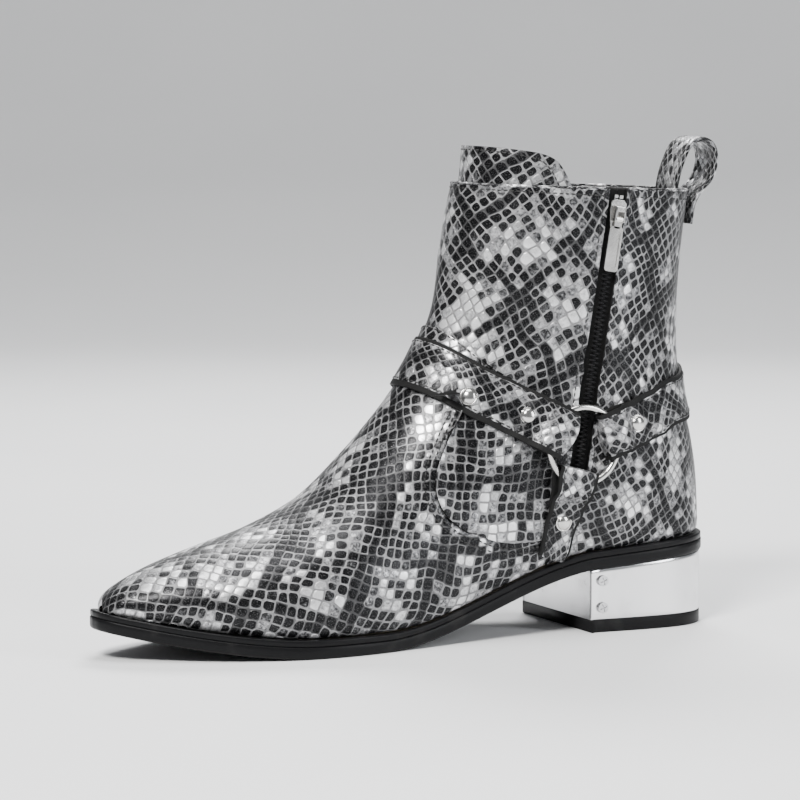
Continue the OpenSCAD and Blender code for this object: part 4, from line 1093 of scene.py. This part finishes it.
puller = {"length": 24.0, "half": 3.4, "low": -1.4, "top": -0.8, "high": -0.5, "eye": 1.4, "neck": 1.6,
          "round": 1.4}
bm = bmesh.new()
m = Matrix.Rotation(math.pi / 2, 4, "X")
eye = puller["eye"] * mm
bmesh.ops.create_cone(bm, cap_ends=True, segments=24, radius1=eye, radius2=eye, depth=3.2 * mm, matrix=m)
shoulder = -4.4
neck = plate(-puller["neck"], puller["neck"], shoulder, -0.2)
extruded(bm, neck, puller["low"], puller["high"], 0.15)
h, l, r = puller["half"], puller["length"], puller["round"]
corner = [(-h + r - r * math.cos(a), -l + r - r * math.sin(a)) for a in np.linspace(0, math.pi / 2, 6)]
outline = corner + [(-y, z) for y, z in corner[::-1]]
outline += [(h, shoulder), (h - 1, shoulder + 1), (-h + 1, shoulder + 1), (-h, shoulder)]
extruded(bm, outline, puller["low"], puller["top"], 0.12)
# raised rim round the puller's face
middle = -l / 2 - 2
inner = [(y * 0.68, middle + (z - middle) * 0.8) for y, z in outline]
for row in (outline, inner):
    loop = [bm.verts.new(Vector((puller["top"], y, z)) * mm) for y, z in row]
    for a, b in zip(loop, loop[1:] + loop[:1]):
        bm.edges.new((a, b))
edges = [e for e in bm.edges if not e.link_faces]
rim = bmesh.ops.bridge_loops(bm, edges=edges)["faces"]
made = bmesh.ops.extrude_face_region(bm, geom=rim)["geom"]
top = [g for g in made if isinstance(g, bmesh.types.BMVert)]
bmesh.ops.translate(bm, vec=((puller["high"] - puller["top"]) * mm, 0, 0), verts=top)
bmesh.ops.transform(bm, matrix=zipFrame @ Matrix.Translation(pivot * mm), verts=bm.verts)
bmesh.ops.recalc_face_normals(bm, faces=bm.faces)
obj = finishObject("zipPuller", bm, [nickel], "puller", smooth=False)
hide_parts("zip_puller")
print("zip done")

# Sole
soleCount = 150


def soleLoop(samples, inset):
    # The sole's outline moved inwards, inner side from toe to heel and back along the outer side
    r = spline(soleRows, samples)
    p = np.concatenate([np.stack([r[:, 1], r[:, 0]], -1), np.stack([r[:, 2], r[:, 0]], -1)[::-1]])
    d = np.roll(p, -1, 0) - np.roll(p, 1, 0)
    d /= np.linalg.norm(d, axis=1, keepdims=True)
    return p + inset * np.stack([-d[:, 1], d[:, 0]], -1)


def wrapLoops(name, loops, materials, capped, spread=0, filled=False):
    # Skin through loops of points from the top round to the underside; caps run from side to side
    around = np.array(loops).transpose(1, 0, 2)
    count = len(around) // 2
    bm = bmesh.new()
    addGrid(bm, np.concatenate([around, around[:1]], 0))
    share = np.linspace(0, 1, spread + 1)[None, :, None]
    for edge in (0, -1) if capped else ():
        a, b = around[:count, edge], around[count:, edge][::-1]
        addGrid(bm, a[:, None] * (1 - share) + b[:, None] * share)
    bmesh.ops.remove_doubles(bm, verts=bm.verts, dist=0.004 * mm)
    if filled:
        bmesh.ops.holes_fill(bm, edges=[e for e in bm.edges if e.is_boundary], sides=0)
    bmesh.ops.recalc_face_normals(bm, faces=bm.faces)
    return finishObject(name, bm, materials)


def soleLoops(rings):
    # rings: (inset, mm above the sole's underside)
    samples = np.linspace(0, len(soleRows) - 1, soleCount)
    loops = []
    for inset, rise in rings:
        p = soleLoop(samples, inset)
        loops.append(np.column_stack([p + bootShift[:2], soleZ(p[:, 1]) + rise]))
    return loops


outsoleRings = [(3.0, 5.48), (0.55, 5.48), (0.2, 5.35), (0.0, 5.0), (0.0, 3.4), (0.0, 2.0), (0.1, 0.9), (0.45, 0.3),
                (1.0, 0.03), (2.2, 0.0)]
obj = wrapLoops("outsoleBody", soleLoops(outsoleRings), [outerRubber], True, 28, True)
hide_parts("outsole")
weltRings = [(9.0, 5.5), (9.0, 8.48), (1.2, 8.48), (0.65, 8.40), (0.3, 8.15), (0.2, 7.7), (0.2, 6.2), (0.35, 5.75),
             (0.7, 5.5), (3.0, 5.5), (9.0, 5.5)]
obj = wrapLoops("weltStrip", soleLoops(weltRings), [weltSkin], False)
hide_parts("welt")
print("sole done")

# Heel
heel = {"inset": 0.8, "plate": 1.2, "lift": 6.0, "samples": 70, "rows": 14}
rowsFine = np.linspace(0, len(soleRows) - 1, 3000)
heelStart = float(np.interp(breastY, spline(soleRows, rowsFine)[:, 0], rowsFine))
heelSamples = np.linspace(heelStart, len(soleRows) - 1, heel["samples"])


def heelLoop(inset):
    # The heel's outline, its two ends on the breast line
    p = soleLoop(heelSamples, inset)
    p[0, 1] = p[-1, 1] = breastY
    return p


def plateTop(y):
    return 29 + 0.078 * (y - breastY) - 0.12


outerWall = heelLoop(heel["inset"])
share = np.linspace(0, 1, heel["rows"])
zLow = heel["lift"] + 0.06
wall = np.array([[[x + bootShift[0], y + bootShift[1], zLow + (plateTop(y) - zLow) * k] for k in share]
                 for x, y in outerWall])
flat = np.stack(np.meshgrid(np.arange(len(outerWall), dtype=float), share, indexing="ij"), -1)
bm = bmesh.new()
addGrid(bm, wall, flat)
bmesh.ops.remove_doubles(bm, verts=bm.verts, dist=0.002 * mm)
bmesh.ops.recalc_face_normals(bm, faces=bm.faces)
turnOutward(bm, Vector((0, 0.11, 0.017)))
obj = finishObject("heelPlate", bm, [mirrorPlate])
harden(obj, heel["plate"], 0.3, 0)
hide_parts("heel_plate")

levels = [(0.8, 0.0), (0.25, 0.12), (0.0, 0.6), (0.0, heel["lift"] - 0.5), (0.12, heel["lift"] - 0.15),
          (0.4, heel["lift"])]
loops = []
for inset, z in levels:
    p = heelLoop(heel["inset"] - 0.1 + inset)
    p[:, 1] = np.maximum(p[:, 1], breastY + inset)
    loops.append(np.column_stack([p + bootShift[:2], np.full(len(p), z)]))
obj = wrapLoops("topLift", loops, [liftRubber], True, 19)
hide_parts("top_lift")
print("heel done")

# Pull loop
loopPath = [(-9.4, -16), (-8, -5), (-6.8, 3), (-4.6, 11), (0.2, 20.5), (6.4, 23.6), (12.6, 20.6), (14.2, 13),
            (11.4, 5), (5.6, -1), (2.2, -7), (0.6, -16)]
pull = {"width": 18.0, "thick": 2.2, "count": 120, "seam": 2.2}
backTop = skin(topU, 1.0)
centre = curve(loopPath, np.linspace(0, 1, pull["count"]))
ahead = np.gradient(centre, axis=0)
ahead /= np.linalg.norm(ahead, axis=1, keepdims=True)
out = np.stack([-ahead[:, 1], ahead[:, 0]], -1)


def loopPoints(x, off):
    # Points at x across the loop and off from its middle line, for every place along it
    yz = backTop[1:] + centre[:, None] + out[:, None] * np.reshape(off, (1, -1, 1))
    x = np.broadcast_to(np.reshape(x, (1, -1, 1)), yz.shape[:2] + (1,))
    return np.concatenate([x + bootShift[0], yz], -1)


places, bulge = bandAcross()
fromMiddle = places[:, 0] - 0.5
x = fromMiddle * pull["width"] + np.sign(fromMiddle) * bulge * pull["thick"] * 0.3
sections = loopPoints(x, (places[:, 1] - 0.5) * pull["thick"])
flat = strapMap(places, pull["width"], lengths(centre), 1.4)
obj = loft("pullLoop", sections, flat, [snakeStrap])
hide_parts("pull_loop")
rows = []
for side in (-1, 1):
    for face in (-1, 1):
        points = loopPoints(side * (pull["width"] / 2 - pull["seam"]), face * 1.15)[:, 0]
        rows.append((points, np.column_stack([np.zeros(pull["count"]), face * out])))
stitches("pullLoopStitch", rows)
print("loop done")

# Finishes on the CAD pieces that stay as they are
finishes = {
    blackLining: ["sock_liner", "back_seam_strip"],
    board("stiffener", (0.42, 0.34, 0.24), (0.6, 0.52, 0.4), 0.9): ["toe_puff", "heel_counter", "insole_board"],
    board("corkFill", (0.2, 0.12, 0.06), (0.5, 0.34, 0.2), 1.3): ["cork_filler"],
    board("heelCore", (0.10, 0.075, 0.055), (0.2, 0.15, 0.11), 0.6): ["heel_block"],
    screwSteel: ["steel_shank", "heel_plate_screws", "heel_fixing_screw", "top_lift_nails"],
    breastSteel: ["heel_breast_plate"],
    nickel: ["zip_top_stops", "zip_bottom_stop"],
    zipCloth: ["zip_tape_front", "zip_tape_rear"],
}
for material, nodes in finishes.items():
    for node in nodes:
        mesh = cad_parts[node].data
        mesh.materials.clear()
        mesh.materials.append(material)
print("finishes done")

# Floor, light and camera
bm = bmesh.new()
bend = np.linspace(0.05, math.pi / 2, 40)
profile = [(3.2, 0.0), (-1.6, 0.0)] + [(-1.6 - 1.2 * math.sin(a), 1.2 - 1.2 * math.cos(a)) for a in bend]
verts = [bm.verts.new((-3.5, y, z)) for y, z in profile + [(-2.8, 3.4)]]
edges = [bm.edges.new(pair) for pair in zip(verts, verts[1:])]
made = bmesh.ops.extrude_edge_only(bm, edges=edges)["geom"]
bmesh.ops.translate(bm, vec=(7, 0, 0), verts=[g for g in made if isinstance(g, bmesh.types.BMVert)])
turn = Matrix.Rotation(math.atan2(0.469, -0.883) + math.pi / 2, 3, "Z")
bmesh.ops.rotate(bm, cent=(0, 0, 0), matrix=turn, verts=bm.verts)
mesh = bpy.data.meshes.new("floor")
for face in bm.faces:
    face.smooth = True
bm.to_mesh(mesh)
bm.free()
floor = bpy.data.objects.new("floor", mesh)
bpy.context.scene.collection.objects.link(floor)
p = Paint("paleFloor", Specular_IOR_Level=0.3)
cloud = p.noise(p.place(), 0.004, 3.0)[0]
p.set(Base_Color=p.blendColor(cloud, (0.76, 0.765, 0.775), (0.82, 0.823, 0.83)), Roughness=0.62 + cloud * 0.1)
mesh.materials.append(p.material)

aim = Vector((0.0, -0.004, 0.108))


def softLight(name, place, size, power, tint=(1, 1, 1)):
    lamp = bpy.data.lights.new(name, "AREA")
    lamp.shape = "RECTANGLE"
    lamp.size, lamp.size_y = size
    lamp.energy = power
    lamp.color = tint
    obj = bpy.data.objects.new(name, lamp)
    bpy.context.scene.collection.objects.link(obj)
    obj.location = place
    obj.rotation_euler = (aim - Vector(place)).to_track_quat("-Z", "Y").to_euler()


softLight("keyLight", (0.9, -1.0, 1.5), (0.5, 0.5), 60, (1.0, 0.99, 0.97))
softLight("fillLight", (1.3, 1.1, 0.7), (0.4, 1.0), 16, (0.96, 0.98, 1.0))
softLight("backLight", (-1.0, 0.5, 1.2), (0.7, 0.5), 30)
softLight("topLight", (0.1, 0.0, 1.9), (1.0, 1.0), 26)
world = bpy.data.worlds.new("room")
world.use_nodes = True
world.node_tree.nodes["Background"].inputs[0].default_value = (0.82, 0.84, 0.87, 1)
world.node_tree.nodes["Background"].inputs[1].default_value = 0.28
bpy.context.scene.world = world

lens = bpy.data.cameras.new("mainCamera")
lens.lens = 168
lens.clip_start = 0.05
lens.clip_end = 30
camera = bpy.data.objects.new("mainCamera", lens)
bpy.context.scene.collection.objects.link(camera)
camera.location = (1.5358, -0.7251, 0.2696)
camera.rotation_euler = (aim - camera.location).to_track_quat("-Z", "Y").to_euler()
bpy.context.scene.camera = camera
